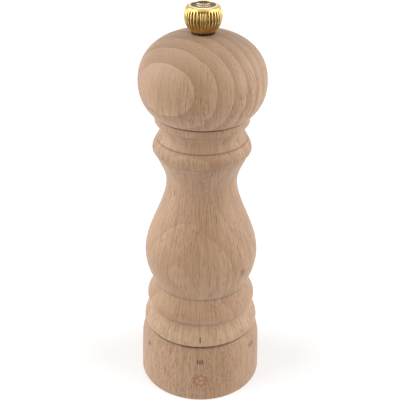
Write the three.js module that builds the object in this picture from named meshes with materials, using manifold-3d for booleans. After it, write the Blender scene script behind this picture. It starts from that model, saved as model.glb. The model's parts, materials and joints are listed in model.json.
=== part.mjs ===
// A turned beech pepper mill: a head that turns the drive shaft, a body that holds the peppercorns,
// a burr mechanism below it, and a wooden foot ring that sets the grind.
// Millimetres, +Z up, table at z = 0.
import * as THREE from "three";
import { mergeVertices } from "three/addons/utils/BufferGeometryUtils.js";
import Module from "manifold-3d";

const wasm = await Module();
wasm.setup();

// ---------------------------------------------------------------- driving dimensions
const FIT = 0.3; // gap between pieces that touch, seat on or run in each other
const THIRD = (2 * Math.PI) / 3;
const TURNED_SIDES = 36; // facets round a turned piece
const SMALL_SIDES = 12; // facets round a screw
const OUTLINE_TOLERANCE = 0.1; // how far a facet may lie inside a turned outline's curve
const OVERCUT = 1; // how far a cutter runs past the face that it opens

// Drive shaft: a square rod with a round pilot below and a screw thread above
const SHAFT_WIDTH = 6;
const PILOT_RADIUS = 2.5;
const THREAD_RADIUS = 2.85;
const CLIP_GROOVE_DEPTH = 0.7;

// Mechanism, from the axis out
const BURR_RADIUS = 14.7;
const HOUSING_WALL = 1.8;
const INSERT_WALL = 2.9;
const INSERT_THREAD_DEPTH = 0.8;
const SCREW_SHANK_RADIUS = 0.9;
const SCREW_HEAD_RADIUS = 1.5;
const SCREW_HEAD_HEIGHT = 1.1;
const SCREW_GRIP = 5; // length of thread in the wood
const SCREW_POINT = 1; // length of the tapered end
const SCREW_HEAD_CLEARANCE = 0.4; // between a flange screw's head and the insert
const HOUSING_FLANGE_MARGIN = 0.5; // flange beyond the screw heads

// Mechanism, from the table up
const INSERT_LIFT = 0.9;
const INSERT_FLANGE = 1.6;
const INSERT_SCREW_GRIP = 7;
const INSERT_SCREW_INSET = 1; // wood between the ring's bore and its screws
const HOUSING_LIFT = 1.6;
const ARM_LIFT = 3.3;
const ARM_THICKNESS = 3;
const ARM_WIDTH = 6;
const HUB_RADIUS = 5;
const HUB_RISE = 0.7; // the carrier's hub above its arms
const HUB_DROP = 1.1; // and below them
const THRUST_WASHER_THICKNESS = 0.8;
const THRUST_WASHER_WALL = 1.6;
const THREAD_LEAD = 2.16; // lift of the carrier for each turn of the ring
const FINE_TURN = 120 / 360; // share of a turn from the middle setting to the finest
const SLOT_WEB = 0.4;
const CLIP_THICKNESS = 0.7;
const CLIP_GRIP = 0.6; // how deep the housing's clip sits in its groove

// Burrs
const BURR_TEETH = 24;
const TOOTH_DEPTH = 0.7;
const INNER_BURR_HEIGHT = 18.6;
const INNER_BURR_SKIRT = 2.2; // height of its widest ring of teeth
const INNER_BURR_TOP_RADIUS = 6.2;
const SKIRT_BEVEL = 0.9;
const SKIRT_STEP = 1.3; // from the grinding teeth in to the feeding teeth
const SKIRT_STEP_HEIGHT = 3;
const OUTER_BURR_LIFT = 1.8; // above the inner burr's underside
const OUTER_BURR_HEIGHT = 15.5;
const OUTER_BURR_WALL = 2; // at its mouth
const OUTER_BURR_MOUTH_HEIGHT = 4.6;
const GRIND_GAP = 0.55; // between the burrs' teeth at the middle setting
const BURR_FLARE = 1.4; // how far the outer burr's teeth close in towards its mouth
const LEDGE_WIDTH = 1.4;
const LEDGE_THICKNESS = 1.5;

// Upper guide and springs
const HOUSING_HEIGHT = 45.6;
const HOUSING_FLANGE = 1.5;
const BRIDGE_THICKNESS = 1.7;
const BRIDGE_RIM = 3.4;
const SPOKE_WIDTH = 3.4;
const BUSH_WALL = 1;
const BRIDGE_HUB_WALL = 1.7;
const BUSH_FLANGE = 1;
const BUSH_FLANGE_MARGIN = 1;
const SHAFT_CLIP_THICKNESS = 1;
const SHAFT_CLIP_RADIUS = 6.5;
const SPRING_WIRE = 0.9;
const SPRING_TURNS = 5;
const DETENT_BALL_RADIUS = 1.1;
const DETENT_OUTSET = 0.35; // of the ball's circle beyond the middle of the insert's wall
const DETENT_WIRE = 0.3;
const DETENT_TURNS = 4;
const DETENT_POCKET = 6.2;
const DETENT_DIMPLE = 0.4;
const GRIND_SETTINGS = 6;

// Adjusting ring
const RING_HEIGHT = 29.2;
const RING_FOOT_WIDTH = 3.2; // wood the mill stands on, round the insert's flange
const RING_FOOT_ROUND = 0.8;
const RING_WALL_HEIGHT = 20;
const RING_TAPER = 0.6;
const RING_SHOULDER_LEAN = 0.12; // share of the shoulder that goes on straight up from the wall
const RING_LIP_LEAN = 0.25; // and straight down from the lip
const RING_LIP_WIDTH = 1.2; // wood round the recess for the screw heads
const SEAM_GAP = 0.5; // between the ring and the body

// Turned outline of the body: how far each feature stands outside the bore behind it, and how far
// it lies above the one before
const BODY_RIM_WALL = 2.2;
const FOOT_BEAD = { wall: 9.3, rise: 1.3 };
const FOOT_GROOVE = { wall: 6.2, rise: 8.4 };
const WAIST_BEAD = { wall: 7.7, rise: 4.1 };
const WAIST_GROOVE = { wall: 6.2, rise: 8.3 };
const BELLY = { wall: 9.9, rise: 15.5 };
const NECK = { wall: 4.5, rise: 35 };
const NECK_FLARE = { wall: 8.7, rise: 13.7 };
const SHOULDER_BEAD = { wall: 10.3, rise: 2.5 };
const SHOULDER_TOP = { wall: 8.6, rise: 4.3 };
const COVE = { wall: 6.9, rise: 3.6 };
const COLLAR = { wall: 8.7, rise: 4.2 };
const COLLAR_HEIGHT = 3.9;
const QUIRK = 0.4; // the small step at each edge of a bead

// Peppercorn chamber
const CHAMBER_RADIUS = 15.5;
const CHAMBER_NECK_RADIUS = 11;
const CHAMBER_ABOVE_BELLY = 9; // where the wide bore starts to close in
const CHAMBER_BELOW_NECK = 16; // where it has closed to the narrow one

// Head
const HEAD_SEAM = 0.3;
const HEAD_FOOT_OUTSET = 1.4; // the head's foot beyond the body's collar
const HEAD_RADIUS = 26.8;
const HEAD_EQUATOR = 13.5;
const HEAD_HEIGHT = 33.7;
const HEAD_FULLNESS = 0.82; // how far up the side stays upright, as a share of the dome's rise
const CROWN_FLATNESS = 0.26; // how far out the top stays level, as a share of its width
const TENON_LENGTH = 6.3;
const TENON_CLEARANCE = 0.5;
const HEAD_BORE_CLEARANCE = 0.3; // round the shaft's corners
const DRIVE_PLATE_THICKNESS = 1.5;
const DRIVE_PLATE_INSET = 0.7; // the plate's rim inside the tenon's
const DRIVE_SHOULDER = 5.6; // depth of the shaft's square end below the head's crown

// Knob
const KNOB_RADIUS = 7.75;
const KNOB_HEIGHT = 10.4;
const KNOB_FLUTES = 32;
const FLUTE_DEPTH = 0.35;
const KNOB_RIM_RADIUS = 5.5;
const KNOB_SHOULDER = 0.9;
const KNOB_THREAD = 6;
const WASHER_THICKNESS = 0.45;
const WASHER_SEAT = 0.3; // the washer's rim beyond the head's bore
const BADGE_RADIUS = 4.7;
const BADGE_THICKNESS = 0.7;
const BADGE_RECESS = 0.15;

// ---------------------------------------------------------------- radii
const shaftCorner = SHAFT_WIDTH * Math.SQRT1_2;
const squareHole = SHAFT_WIDTH + 2 * FIT;
const housingInner = BURR_RADIUS + FIT;
const housingOuter = housingInner + HOUSING_WALL;
const insertInner = housingOuter + FIT;
const insertOuter = insertInner + INSERT_WALL;
const insertThread = insertInner + INSERT_THREAD_DEPTH;
const armReach = insertThread - FIT;
const detentCircle = (insertInner + insertOuter) / 2 + DETENT_OUTSET;
const flangeScrewCircle = insertOuter + SCREW_HEAD_CLEARANCE + SCREW_HEAD_RADIUS;
const housingFlange = flangeScrewCircle + SCREW_HEAD_RADIUS + HOUSING_FLANGE_MARGIN;
const ringBore = insertOuter + FIT;
const ringScrewCircle = ringBore + INSERT_SCREW_INSET + FIT + SCREW_SHANK_RADIUS;
const insertFlange = ringScrewCircle + SCREW_HEAD_RADIUS + FIT + HOUSING_FLANGE_MARGIN;
const ringRecess = insertFlange + FIT;
const ringFoot = ringRecess + RING_FOOT_WIDTH;
const ringTopRecess = housingFlange + FIT;
const ringLip = ringTopRecess + RING_LIP_WIDTH;
const bodyCounterbore = housingOuter + FIT;
const bodyRecess = housingFlange + FIT;
const bodyRim = bodyRecess + BODY_RIM_WALL;
const bushRadius = (squareHole / 2) * Math.SQRT2 + BUSH_WALL;
const bridgeBore = bushRadius + FIT;
const bridgeHub = bridgeBore + BRIDGE_HUB_WALL;
const collarRadius = CHAMBER_NECK_RADIUS + COLLAR.wall + QUIRK;
const headBore = shaftCorner + HEAD_BORE_CLEARANCE;
const tenonRadius = CHAMBER_NECK_RADIUS - TENON_CLEARANCE;
const drivePlateRadius = tenonRadius - DRIVE_PLATE_INSET;
const plateScrewCircle = (headBore + drivePlateRadius) / 2;
const knobBore = THREAD_RADIUS + FIT;
const washerRadius = headBore + WASHER_SEAT;
const knobFootRadius = washerRadius + FIT;

// ---------------------------------------------------------------- heights
const insertFlangeTop = INSERT_LIFT + INSERT_FLANGE;
const armTop = ARM_LIFT + ARM_THICKNESS;
const carrierRise = THREAD_LEAD * FINE_TURN; // from the middle setting to the finest
const slotTop = armTop + carrierRise + FIT;
const clipGrooveBottom = slotTop + SLOT_WEB;
const insertShoulder = clipGrooveBottom + CLIP_THICKNESS + 2 * FIT;
const hubTop = armTop + HUB_RISE;
const thrustWasherBottom = hubTop + FIT;
const innerBurrBottom = thrustWasherBottom + THRUST_WASHER_THICKNESS + FIT;
const innerBurrTop = innerBurrBottom + INNER_BURR_HEIGHT;
const squareBottom = innerBurrBottom + carrierRise;
const outerBurrBottom = innerBurrBottom + OUTER_BURR_LIFT;
const outerBurrTop = outerBurrBottom + OUTER_BURR_HEIGHT;
const ledgeBottom = outerBurrTop + FIT;
const bodyFoot = RING_HEIGHT + SEAM_GAP;
const housingFlangeBottom = bodyFoot + FIT;
const housingFlangeTop = housingFlangeBottom + HOUSING_FLANGE;
const bodyRecessTop = housingFlangeTop + FIT;
const insertTop = housingFlangeBottom - FIT;
const screwHeadBottom = housingFlangeBottom - FIT - SCREW_HEAD_HEIGHT;
const ringTopRecessFloor = screwHeadBottom - 2 * FIT;
const housingTop = HOUSING_LIFT + HOUSING_HEIGHT;
const bridgeBottom = housingTop + FIT;
const bridgeTop = bridgeBottom + BRIDGE_THICKNESS;
const bodyShoulder = bridgeTop + FIT;
const bushFlangeBottom = bridgeTop + FIT;
const bushTop = bushFlangeBottom + BUSH_FLANGE;
const bushBottom = bridgeBottom - FIT;
const lowerClipBottom = bushBottom - FIT - SHAFT_CLIP_THICKNESS;
const upperClipBottom = bushTop + FIT;
const detentBallCentre = insertTop + FIT + DETENT_BALL_RADIUS;
const detentPocketTop = bodyRecessTop + DETENT_POCKET;
const bellyHeight =
  bodyFoot + FOOT_BEAD.rise + FOOT_GROOVE.rise + WAIST_BEAD.rise + WAIST_GROOVE.rise + BELLY.rise;
const neckHeight = bellyHeight + NECK.rise;
const collarHeight =
  neckHeight + NECK_FLARE.rise + SHOULDER_BEAD.rise + SHOULDER_TOP.rise + COVE.rise + COLLAR.rise;
const bodyTop = collarHeight + COLLAR_HEIGHT;
const headFoot = bodyTop + HEAD_SEAM;
const crown = headFoot + HEAD_HEIGHT;
const tenonBottom = headFoot - TENON_LENGTH;
const drivePlateTop = tenonBottom - FIT;
const drivePlateBottom = drivePlateTop - DRIVE_PLATE_THICKNESS;
const washerBottom = crown + FIT;
const knobFoot = washerBottom + WASHER_THICKNESS + FIT;
const knobTop = knobFoot + KNOB_HEIGHT;
const shaftTop = knobFoot + KNOB_THREAD;
const squareTop = crown - DRIVE_SHOULDER;
const badgeTop = knobTop - BADGE_RECESS;

// ---------------------------------------------------------------- shape helpers
const toSolid = (geometry) => {
  const bare = new THREE.BufferGeometry();
  bare.setAttribute("position", geometry.getAttribute("position"));
  if (geometry.index) bare.setIndex(geometry.index);
  const merged = mergeVertices(bare, 1e-4);
  const vertProperties = new Float32Array(merged.getAttribute("position").array);
  const triVerts = new Uint32Array(merged.index.array);
  return new wasm.Manifold(new wasm.Mesh({ numProp: 3, vertProperties, triVerts }));
};

const toGeometry = (solid) => {
  const { vertProperties, triVerts } = solid.getMesh();
  const geometry = new THREE.BufferGeometry();
  geometry.setAttribute("position", new THREE.BufferAttribute(vertProperties, 3));
  geometry.setIndex(new THREE.BufferAttribute(triVerts, 1));
  return geometry;
};

const cutAway = (geometry, cutters) =>
  toGeometry(cutters.reduce((solid, cutter) => solid.subtract(toSolid(cutter)), toSolid(geometry)));

const join = (geometry, additions) =>
  toGeometry(additions.reduce((solid, extra) => solid.add(toSolid(extra)), toSolid(geometry)));

// How far a curve's direction turns along its length, in radians.
const turning = (curve, samples = 32) => {
  const angles = Array.from({ length: samples + 1 }, (_, i) => curve.getTangent(i / samples).angle());
  const steps = angles.slice(1).map((angle, i) => Math.abs(Math.sin(angle - angles[i])));
  return steps.reduce((sum, step) => sum + step, 0);
};

// Points along a path of radius and height, with each curve cut into facets within OUTLINE_TOLERANCE.
const outline = (path) => {
  const points = [path.curves[0].getPoint(0)];
  for (const curve of path.curves) {
    const sag = curve.isLineCurve ? 0 : (curve.getLength() * turning(curve)) / 8;
    const facets = Math.max(curve.isLineCurve ? 1 : 2, Math.ceil(Math.sqrt(sag / OUTLINE_TOLERANCE)));
    for (let i = 1; i <= facets; i++) points.push(curve.getPoint(i / facets));
  }
  return points;
};

// A solid of revolution about Z from a closed loop of radius and height, or from one that ends on the axis.
const revolve = (points, sides = TURNED_SIDES) => {
  const loop = points.map((point) => point.clone());
  if (THREE.ShapeUtils.area(loop) < 0) loop.reverse();
  const last = loop[loop.length - 1];
  const closed = last.distanceTo(loop[0]) < 1e-6;
  const onAxis = last.x === 0 && loop[0].x === 0;
  if (!closed && !onAxis) loop.push(loop[0].clone());
  return new THREE.LatheGeometry(loop, sides).rotateX(Math.PI / 2);
};

const corners = (pairs) => pairs.map(([radius, height]) => new THREE.Vector2(radius, height));

const tube = (inner, outer, bottom, top, sides) =>
  revolve(corners([[inner, bottom], [outer, bottom], [outer, top], [inner, top]]), sides);

const rod = (radius, bottom, top, sides) =>
  revolve(corners([[0, bottom], [radius, bottom], [radius, top], [0, top]]), sides);

const squareRod = (width, bottom, top) =>
  new THREE.BoxGeometry(width, width, top - bottom).translate(0, 0, (bottom + top) / 2);

const polar = (radius, angle) => [radius * Math.cos(angle), radius * Math.sin(angle)];

const placed = (geometry, radius, angle) => geometry.translate(...polar(radius, angle), 0);

// A curve that runs straight up at both ends; each lean is the share of the rise that it holds on for.
const swellTo = (path, radius, height, leanBelow, leanAbove) => {
  const { x, y } = path.currentPoint;
  const rise = height - y;
  path.bezierCurveTo(x, y + leanBelow * rise, radius, height - leanAbove * rise, radius, height);
};

// Turns a smooth lathe into teeth: every second column of vertices between two radii moves by `depth`.
const cutTeeth = (geometry, { from, to, depth, sides }) => {
  const position = geometry.getAttribute("position");
  for (let i = 0; i < position.count; i++) {
    const [x, y] = [position.getX(i), position.getY(i)];
    const radius = Math.hypot(x, y);
    const angle = Math.atan2(y, x);
    const column = Math.round((angle / (2 * Math.PI)) * sides);
    const isTooth = column % 2 && radius >= from && radius <= to;
    if (isTooth) position.setXY(i, ...polar(radius + depth, angle));
  }
  return geometry;
};

// A flat ring with a gap, such as a retaining clip.
const openRing = (inner, outer, thickness, gapAngle) => {
  const shape = new THREE.Shape();
  shape.absarc(0, 0, outer, gapAngle / 2, 2 * Math.PI - gapAngle / 2, false);
  shape.absarc(0, 0, inner, 2 * Math.PI - gapAngle / 2, gapAngle / 2, true);
  return new THREE.ExtrudeGeometry(shape, { depth: thickness, bevelEnabled: false, curveSegments: 14 });
};

class Coil extends THREE.Curve {
  constructor(radius, bottom, top, turns) {
    super();
    Object.assign(this, { radius, bottom, top, turns });
  }
  // The end turns lie nearly flat, so that the spring seats squarely.
  getPoint(t, target = new THREE.Vector3()) {
    const climb = t - Math.sin(2 * Math.PI * t) / (2 * Math.PI);
    const angle = 2 * Math.PI * this.turns * t;
    return target.set(...polar(this.radius, angle), this.bottom + (this.top - this.bottom) * climb);
  }
}

const coilSpring = (radius, wire, bottom, top, turns, steps) => {
  const section = new THREE.Shape().absarc(0, 0, wire / 2, 0, 2 * Math.PI, false);
  const extrudePath = new Coil(radius, bottom + wire / 2, top - wire / 2, turns);
  return new THREE.ExtrudeGeometry(section, { steps: turns * steps, curveSegments: 3, extrudePath });
};

const RECESS_WIDTH = 1.3 * SCREW_HEAD_RADIUS;
const RECESS_DEPTH = 0.5;

// A cross recess, cut into a screw head whose face looks down at the given height.
const crossRecess = (height) => {
  const bar = new THREE.BoxGeometry(RECESS_WIDTH, RECESS_WIDTH / 4, 2 * RECESS_DEPTH);
  bar.translate(0, 0, height);
  return [bar, bar.clone().rotateZ(Math.PI / 2)];
};

const panScrew = (length) => {
  const screw = revolve(
    corners([
      [0, 0],
      [SCREW_HEAD_RADIUS * 0.75, 0],
      [SCREW_HEAD_RADIUS, SCREW_HEAD_HEIGHT * 0.45],
      [SCREW_HEAD_RADIUS, SCREW_HEAD_HEIGHT],
      [SCREW_SHANK_RADIUS, SCREW_HEAD_HEIGHT],
      [SCREW_SHANK_RADIUS, SCREW_HEAD_HEIGHT + length - SCREW_POINT],
      [0, SCREW_HEAD_HEIGHT + length],
    ]),
    SMALL_SIDES,
  );
  return cutAway(screw, crossRecess(0));
};

const countersunk = (spread, bottom, tip) =>
  revolve(
    corners([
      [0, bottom],
      [SCREW_HEAD_RADIUS + spread, bottom],
      [SCREW_SHANK_RADIUS + spread, bottom + SCREW_HEAD_HEIGHT],
      [SCREW_SHANK_RADIUS + spread, tip - SCREW_POINT],
      [0, tip],
    ]),
    SMALL_SIDES,
  );

// ---------------------------------------------------------------- materials
const material = (color, roughness, metalness) =>
  new THREE.MeshStandardMaterial({ color, roughness, metalness });

const beech = material(0xbe9f82, 0.72, 0);
const brass = material(0xc79a3c, 0.3, 1);
const darkPlastic = material(0x2b2622, 0.5, 0);
const whiteNylon = material(0xd8d4ca, 0.55, 0);
const steel = material(0x9a9ca0, 0.35, 1);
const hardSteel = material(0x5d5f63, 0.42, 1);
const aluminium = material(0xb9bbbd, 0.4, 1);

// ---------------------------------------------------------------- foot ring and grind setting
const thirds = (start) => [0, 1, 2].map((i) => start + i * THIRD);
const ARM_ANGLES = thirds(Math.PI / 3);
const FLANGE_SCREW_ANGLES = thirds(Math.PI / 6);
const RING_SCREW_ANGLES = thirds(0.35);
const DETENT_ANGLE = Math.PI / 2;
const CIRCLET_GAP = 0.5; // radians left open in a retaining ring

const hole = (radius, bottom, top, circle, angle) =>
  placed(rod(radius + FIT, bottom - OVERCUT, top, SMALL_SIDES), circle, angle);

const pilotHoles = (circle, angles, bottom, depth) =>
  angles.map((angle) => hole(SCREW_SHANK_RADIUS, bottom, bottom + depth, circle, angle));

const adjustingRing = () => {
  const path = new THREE.Path();
  path.moveTo(ringRecess, 0);
  path.lineTo(ringFoot - RING_FOOT_ROUND, 0);
  path.quadraticCurveTo(ringFoot, 0, ringFoot, RING_FOOT_ROUND);
  path.lineTo(ringFoot - RING_TAPER, RING_WALL_HEIGHT);
  const shoulder = RING_HEIGHT - RING_WALL_HEIGHT;
  path.bezierCurveTo(
    ringFoot - RING_TAPER * 1.3,
    RING_WALL_HEIGHT + shoulder * RING_SHOULDER_LEAN,
    ringLip + RING_LIP_WIDTH,
    RING_HEIGHT - shoulder * RING_LIP_LEAN,
    ringLip,
    RING_HEIGHT,
  );
  path.lineTo(ringTopRecess, RING_HEIGHT);
  path.lineTo(ringTopRecess, ringTopRecessFloor);
  path.lineTo(ringBore, ringTopRecessFloor);
  path.lineTo(ringBore, insertFlangeTop + FIT);
  path.lineTo(ringRecess, insertFlangeTop + FIT);
  path.lineTo(ringRecess, 0);
  const seat = insertFlangeTop + FIT;
  const holes = pilotHoles(ringScrewCircle, RING_SCREW_ANGLES, seat, INSERT_SCREW_GRIP + FIT);
  return cutAway(revolve(outline(path)), holes);
};

const ball = (height) => new THREE.SphereGeometry(DETENT_BALL_RADIUS, 12, 8).translate(0, 0, height);

const ringInsert = () => {
  const sleeve = revolve(
    corners([
      [insertThread, INSERT_LIFT],
      [insertFlange, INSERT_LIFT],
      [insertFlange, insertFlangeTop],
      [insertOuter, insertFlangeTop],
      [insertOuter, insertTop],
      [insertInner, insertTop],
      [insertInner, insertShoulder],
      [insertThread, insertShoulder],
    ]),
  );
  const holes = RING_SCREW_ANGLES.map((angle) =>
    placed(countersunk(FIT, INSERT_LIFT - FIT, insertFlangeTop + 2 * OVERCUT), ringScrewCircle, angle),
  );
  const dimpleCentre = insertTop + DETENT_BALL_RADIUS - DETENT_DIMPLE;
  const dimples = Array.from({ length: GRIND_SETTINGS }, (_, i) => {
    const angle = DETENT_ANGLE + (i * 2 * Math.PI) / GRIND_SETTINGS;
    return placed(ball(dimpleCentre), detentCircle, angle);
  });
  return cutAway(sleeve, [...holes, ...dimples]);
};

const ringScrew = () => {
  const screw = countersunk(0, INSERT_LIFT, insertFlangeTop + INSERT_SCREW_GRIP);
  return cutAway(screw, crossRecess(INSERT_LIFT));
};

const carrier = () => {
  const hub = tube(PILOT_RADIUS + FIT, HUB_RADIUS, ARM_LIFT - HUB_DROP, hubTop, TURNED_SIDES / 2);
  const disc = toSolid(tube(HUB_RADIUS - OVERCUT, armReach, ARM_LIFT, armTop));
  const arms = ARM_ANGLES.map((angle) => {
    const bar = new THREE.BoxGeometry(armReach, ARM_WIDTH, ARM_THICKNESS + 2 * OVERCUT);
    bar.translate((armReach + HUB_RADIUS) / 2, 0, (ARM_LIFT + armTop) / 2).rotateZ(angle);
    return toGeometry(disc.intersect(toSolid(bar)));
  });
  return join(hub, arms);
};

const thrustWasher = () =>
  tube(
    PILOT_RADIUS + FIT,
    PILOT_RADIUS + FIT + THRUST_WASHER_WALL,
    thrustWasherBottom,
    thrustWasherBottom + THRUST_WASHER_THICKNESS,
    TURNED_SIDES / 2,
  );

// ---------------------------------------------------------------- mechanism
const ballHole = (bottom, top) => hole(DETENT_BALL_RADIUS, bottom, top, detentCircle, DETENT_ANGLE);

const housing = () => {
  const grooveRadius = housingOuter - CLIP_GRIP - FIT;
  const grooveTop = clipGrooveBottom + CLIP_THICKNESS + 2 * FIT;
  const sleeve = revolve(
    corners([
      [housingInner, HOUSING_LIFT],
      [housingOuter, HOUSING_LIFT],
      [housingOuter, clipGrooveBottom],
      [grooveRadius, clipGrooveBottom],
      [grooveRadius, grooveTop],
      [housingOuter, grooveTop],
      [housingOuter, housingFlangeBottom],
      [housingFlange, housingFlangeBottom],
      [housingFlange, housingFlangeTop],
      [housingOuter, housingFlangeTop],
      [housingOuter, housingTop],
      [housingInner, housingTop],
      [housingInner, ledgeBottom + LEDGE_THICKNESS],
      [housingInner - LEDGE_WIDTH, ledgeBottom + LEDGE_THICKNESS],
      [housingInner - LEDGE_WIDTH, ledgeBottom],
      [housingInner, ledgeBottom],
    ]),
  );
  const slotBottom = HOUSING_LIFT - OVERCUT;
  const slots = ARM_ANGLES.map((angle) =>
    new THREE.BoxGeometry(4 * HOUSING_WALL, ARM_WIDTH + 2 * FIT, slotTop - slotBottom)
      .translate(housingOuter, 0, (slotBottom + slotTop) / 2)
      .rotateZ(angle),
  );
  const depth = HOUSING_FLANGE + OVERCUT;
  const screwHoles = pilotHoles(flangeScrewCircle, FLANGE_SCREW_ANGLES, housingFlangeBottom, depth);
  const ballGuide = ballHole(housingFlangeBottom, housingFlangeTop + OVERCUT);
  return cutAway(sleeve, [...slots, ...screwHoles, ballGuide]);
};

const housingClip = () => {
  const clip = openRing(housingOuter - CLIP_GRIP, insertThread - FIT, CLIP_THICKNESS, CIRCLET_GAP);
  return clip.translate(0, 0, clipGrooveBottom + FIT);
};

const burrSides = 2 * BURR_TEETH;
const burrMouth = BURR_RADIUS - OUTER_BURR_WALL;
const skirtRadius = burrMouth - GRIND_GAP - TOOTH_DEPTH;

const outerBurr = () => {
  const ring = revolve(
    corners([
      [burrMouth, outerBurrBottom],
      [BURR_RADIUS, outerBurrBottom],
      [BURR_RADIUS, outerBurrTop],
      [burrMouth - BURR_FLARE, outerBurrTop],
      [burrMouth - BURR_FLARE, outerBurrBottom + OUTER_BURR_MOUTH_HEIGHT],
    ]),
    burrSides,
  );
  return cutTeeth(ring, {
    from: 0,
    to: BURR_RADIUS - FIT,
    depth: TOOTH_DEPTH,
    sides: burrSides,
  });
};

const innerBurr = () => {
  const skirt = innerBurrBottom + INNER_BURR_SKIRT;
  const cone = revolve(
    corners([
      [0, innerBurrBottom],
      [INNER_BURR_TOP_RADIUS, innerBurrBottom],
      [skirtRadius - SKIRT_BEVEL, innerBurrBottom + SKIRT_BEVEL],
      [skirtRadius, skirt],
      [skirtRadius - SKIRT_STEP, skirt + SKIRT_STEP_HEIGHT],
      [INNER_BURR_TOP_RADIUS + FIT, innerBurrTop - SKIRT_BEVEL],
      [INNER_BURR_TOP_RADIUS, innerBurrTop],
      [0, innerBurrTop],
    ]),
    burrSides,
  );
  const toothed = cutTeeth(cone, {
    from: INNER_BURR_TOP_RADIUS + FIT / 2,
    to: BURR_RADIUS,
    depth: TOOTH_DEPTH,
    sides: burrSides,
  });
  return cutAway(toothed, [squareRod(squareHole, innerBurrBottom - OVERCUT, innerBurrTop + OVERCUT)]);
};

const guideBridge = () => {
  const rimInner = housingOuter - BRIDGE_RIM;
  const shape = new THREE.Shape().absarc(0, 0, housingOuter, 0, 2 * Math.PI, false);
  shape.holes.push(new THREE.Path().absarc(0, 0, bridgeBore, 0, 2 * Math.PI, true));
  for (const angle of ARM_ANGLES) {
    const window = new THREE.Path();
    const outerEdge = Math.asin(SPOKE_WIDTH / 2 / rimInner);
    const innerEdge = Math.asin(SPOKE_WIDTH / 2 / bridgeHub);
    window.absarc(0, 0, rimInner, angle + outerEdge, angle + THIRD - outerEdge, false);
    window.absarc(0, 0, bridgeHub, angle + THIRD - innerEdge, angle + innerEdge, true);
    window.closePath();
    shape.holes.push(window);
  }
  const plate = new THREE.ExtrudeGeometry(shape, {
    depth: BRIDGE_THICKNESS,
    bevelEnabled: false,
    curveSegments: TURNED_SIDES / 4,
  });
  return plate.translate(0, 0, bridgeBottom);
};

const shaftBush = () => {
  const flangeRadius = bridgeBore + BUSH_FLANGE_MARGIN;
  const bush = revolve(
    corners([
      [0, bushBottom],
      [bushRadius, bushBottom],
      [bushRadius, bushFlangeBottom],
      [flangeRadius, bushFlangeBottom],
      [flangeRadius, bushTop],
      [0, bushTop],
    ]),
    TURNED_SIDES / 2,
  );
  return cutAway(bush, [squareRod(squareHole, bushBottom - OVERCUT, bushTop + OVERCUT)]);
};

const clipGroove = shaftCorner - CLIP_GROOVE_DEPTH;

const shaftClip = (bottom) => {
  const clip = openRing(clipGroove + FIT, SHAFT_CLIP_RADIUS, SHAFT_CLIP_THICKNESS, 2 * CIRCLET_GAP);
  return clip.translate(0, 0, bottom);
};

const burrSpring = () => {
  const radius = shaftCorner + FIT + SPRING_WIRE / 2;
  const top = lowerClipBottom - FIT;
  return coilSpring(radius, SPRING_WIRE, innerBurrTop + FIT, top, SPRING_TURNS, 10);
};

const detentBall = () => placed(ball(detentBallCentre), detentCircle, DETENT_ANGLE);

const detentSpring = () => {
  const bottom = detentBallCentre + DETENT_BALL_RADIUS + FIT;
  const radius = DETENT_BALL_RADIUS - DETENT_WIRE;
  const spring = coilSpring(radius, DETENT_WIRE, bottom, detentPocketTop - FIT, DETENT_TURNS, 8);
  return placed(spring, detentCircle, DETENT_ANGLE);
};

const shaft = () => {
  const square = squareRod(SHAFT_WIDTH, squareBottom, squareTop);
  const pilot = rod(PILOT_RADIUS, ARM_LIFT - HUB_DROP + FIT, squareBottom + OVERCUT, TURNED_SIDES / 2);
  const thread = rod(THREAD_RADIUS, squareTop - OVERCUT, shaftTop, TURNED_SIDES / 2);
  const grooves = [lowerClipBottom, upperClipBottom].map((bottom) =>
    tube(clipGroove, shaftCorner + OVERCUT, bottom - FIT, bottom + SHAFT_CLIP_THICKNESS + FIT),
  );
  return cutAway(join(square, [pilot, thread]), grooves);
};

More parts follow.
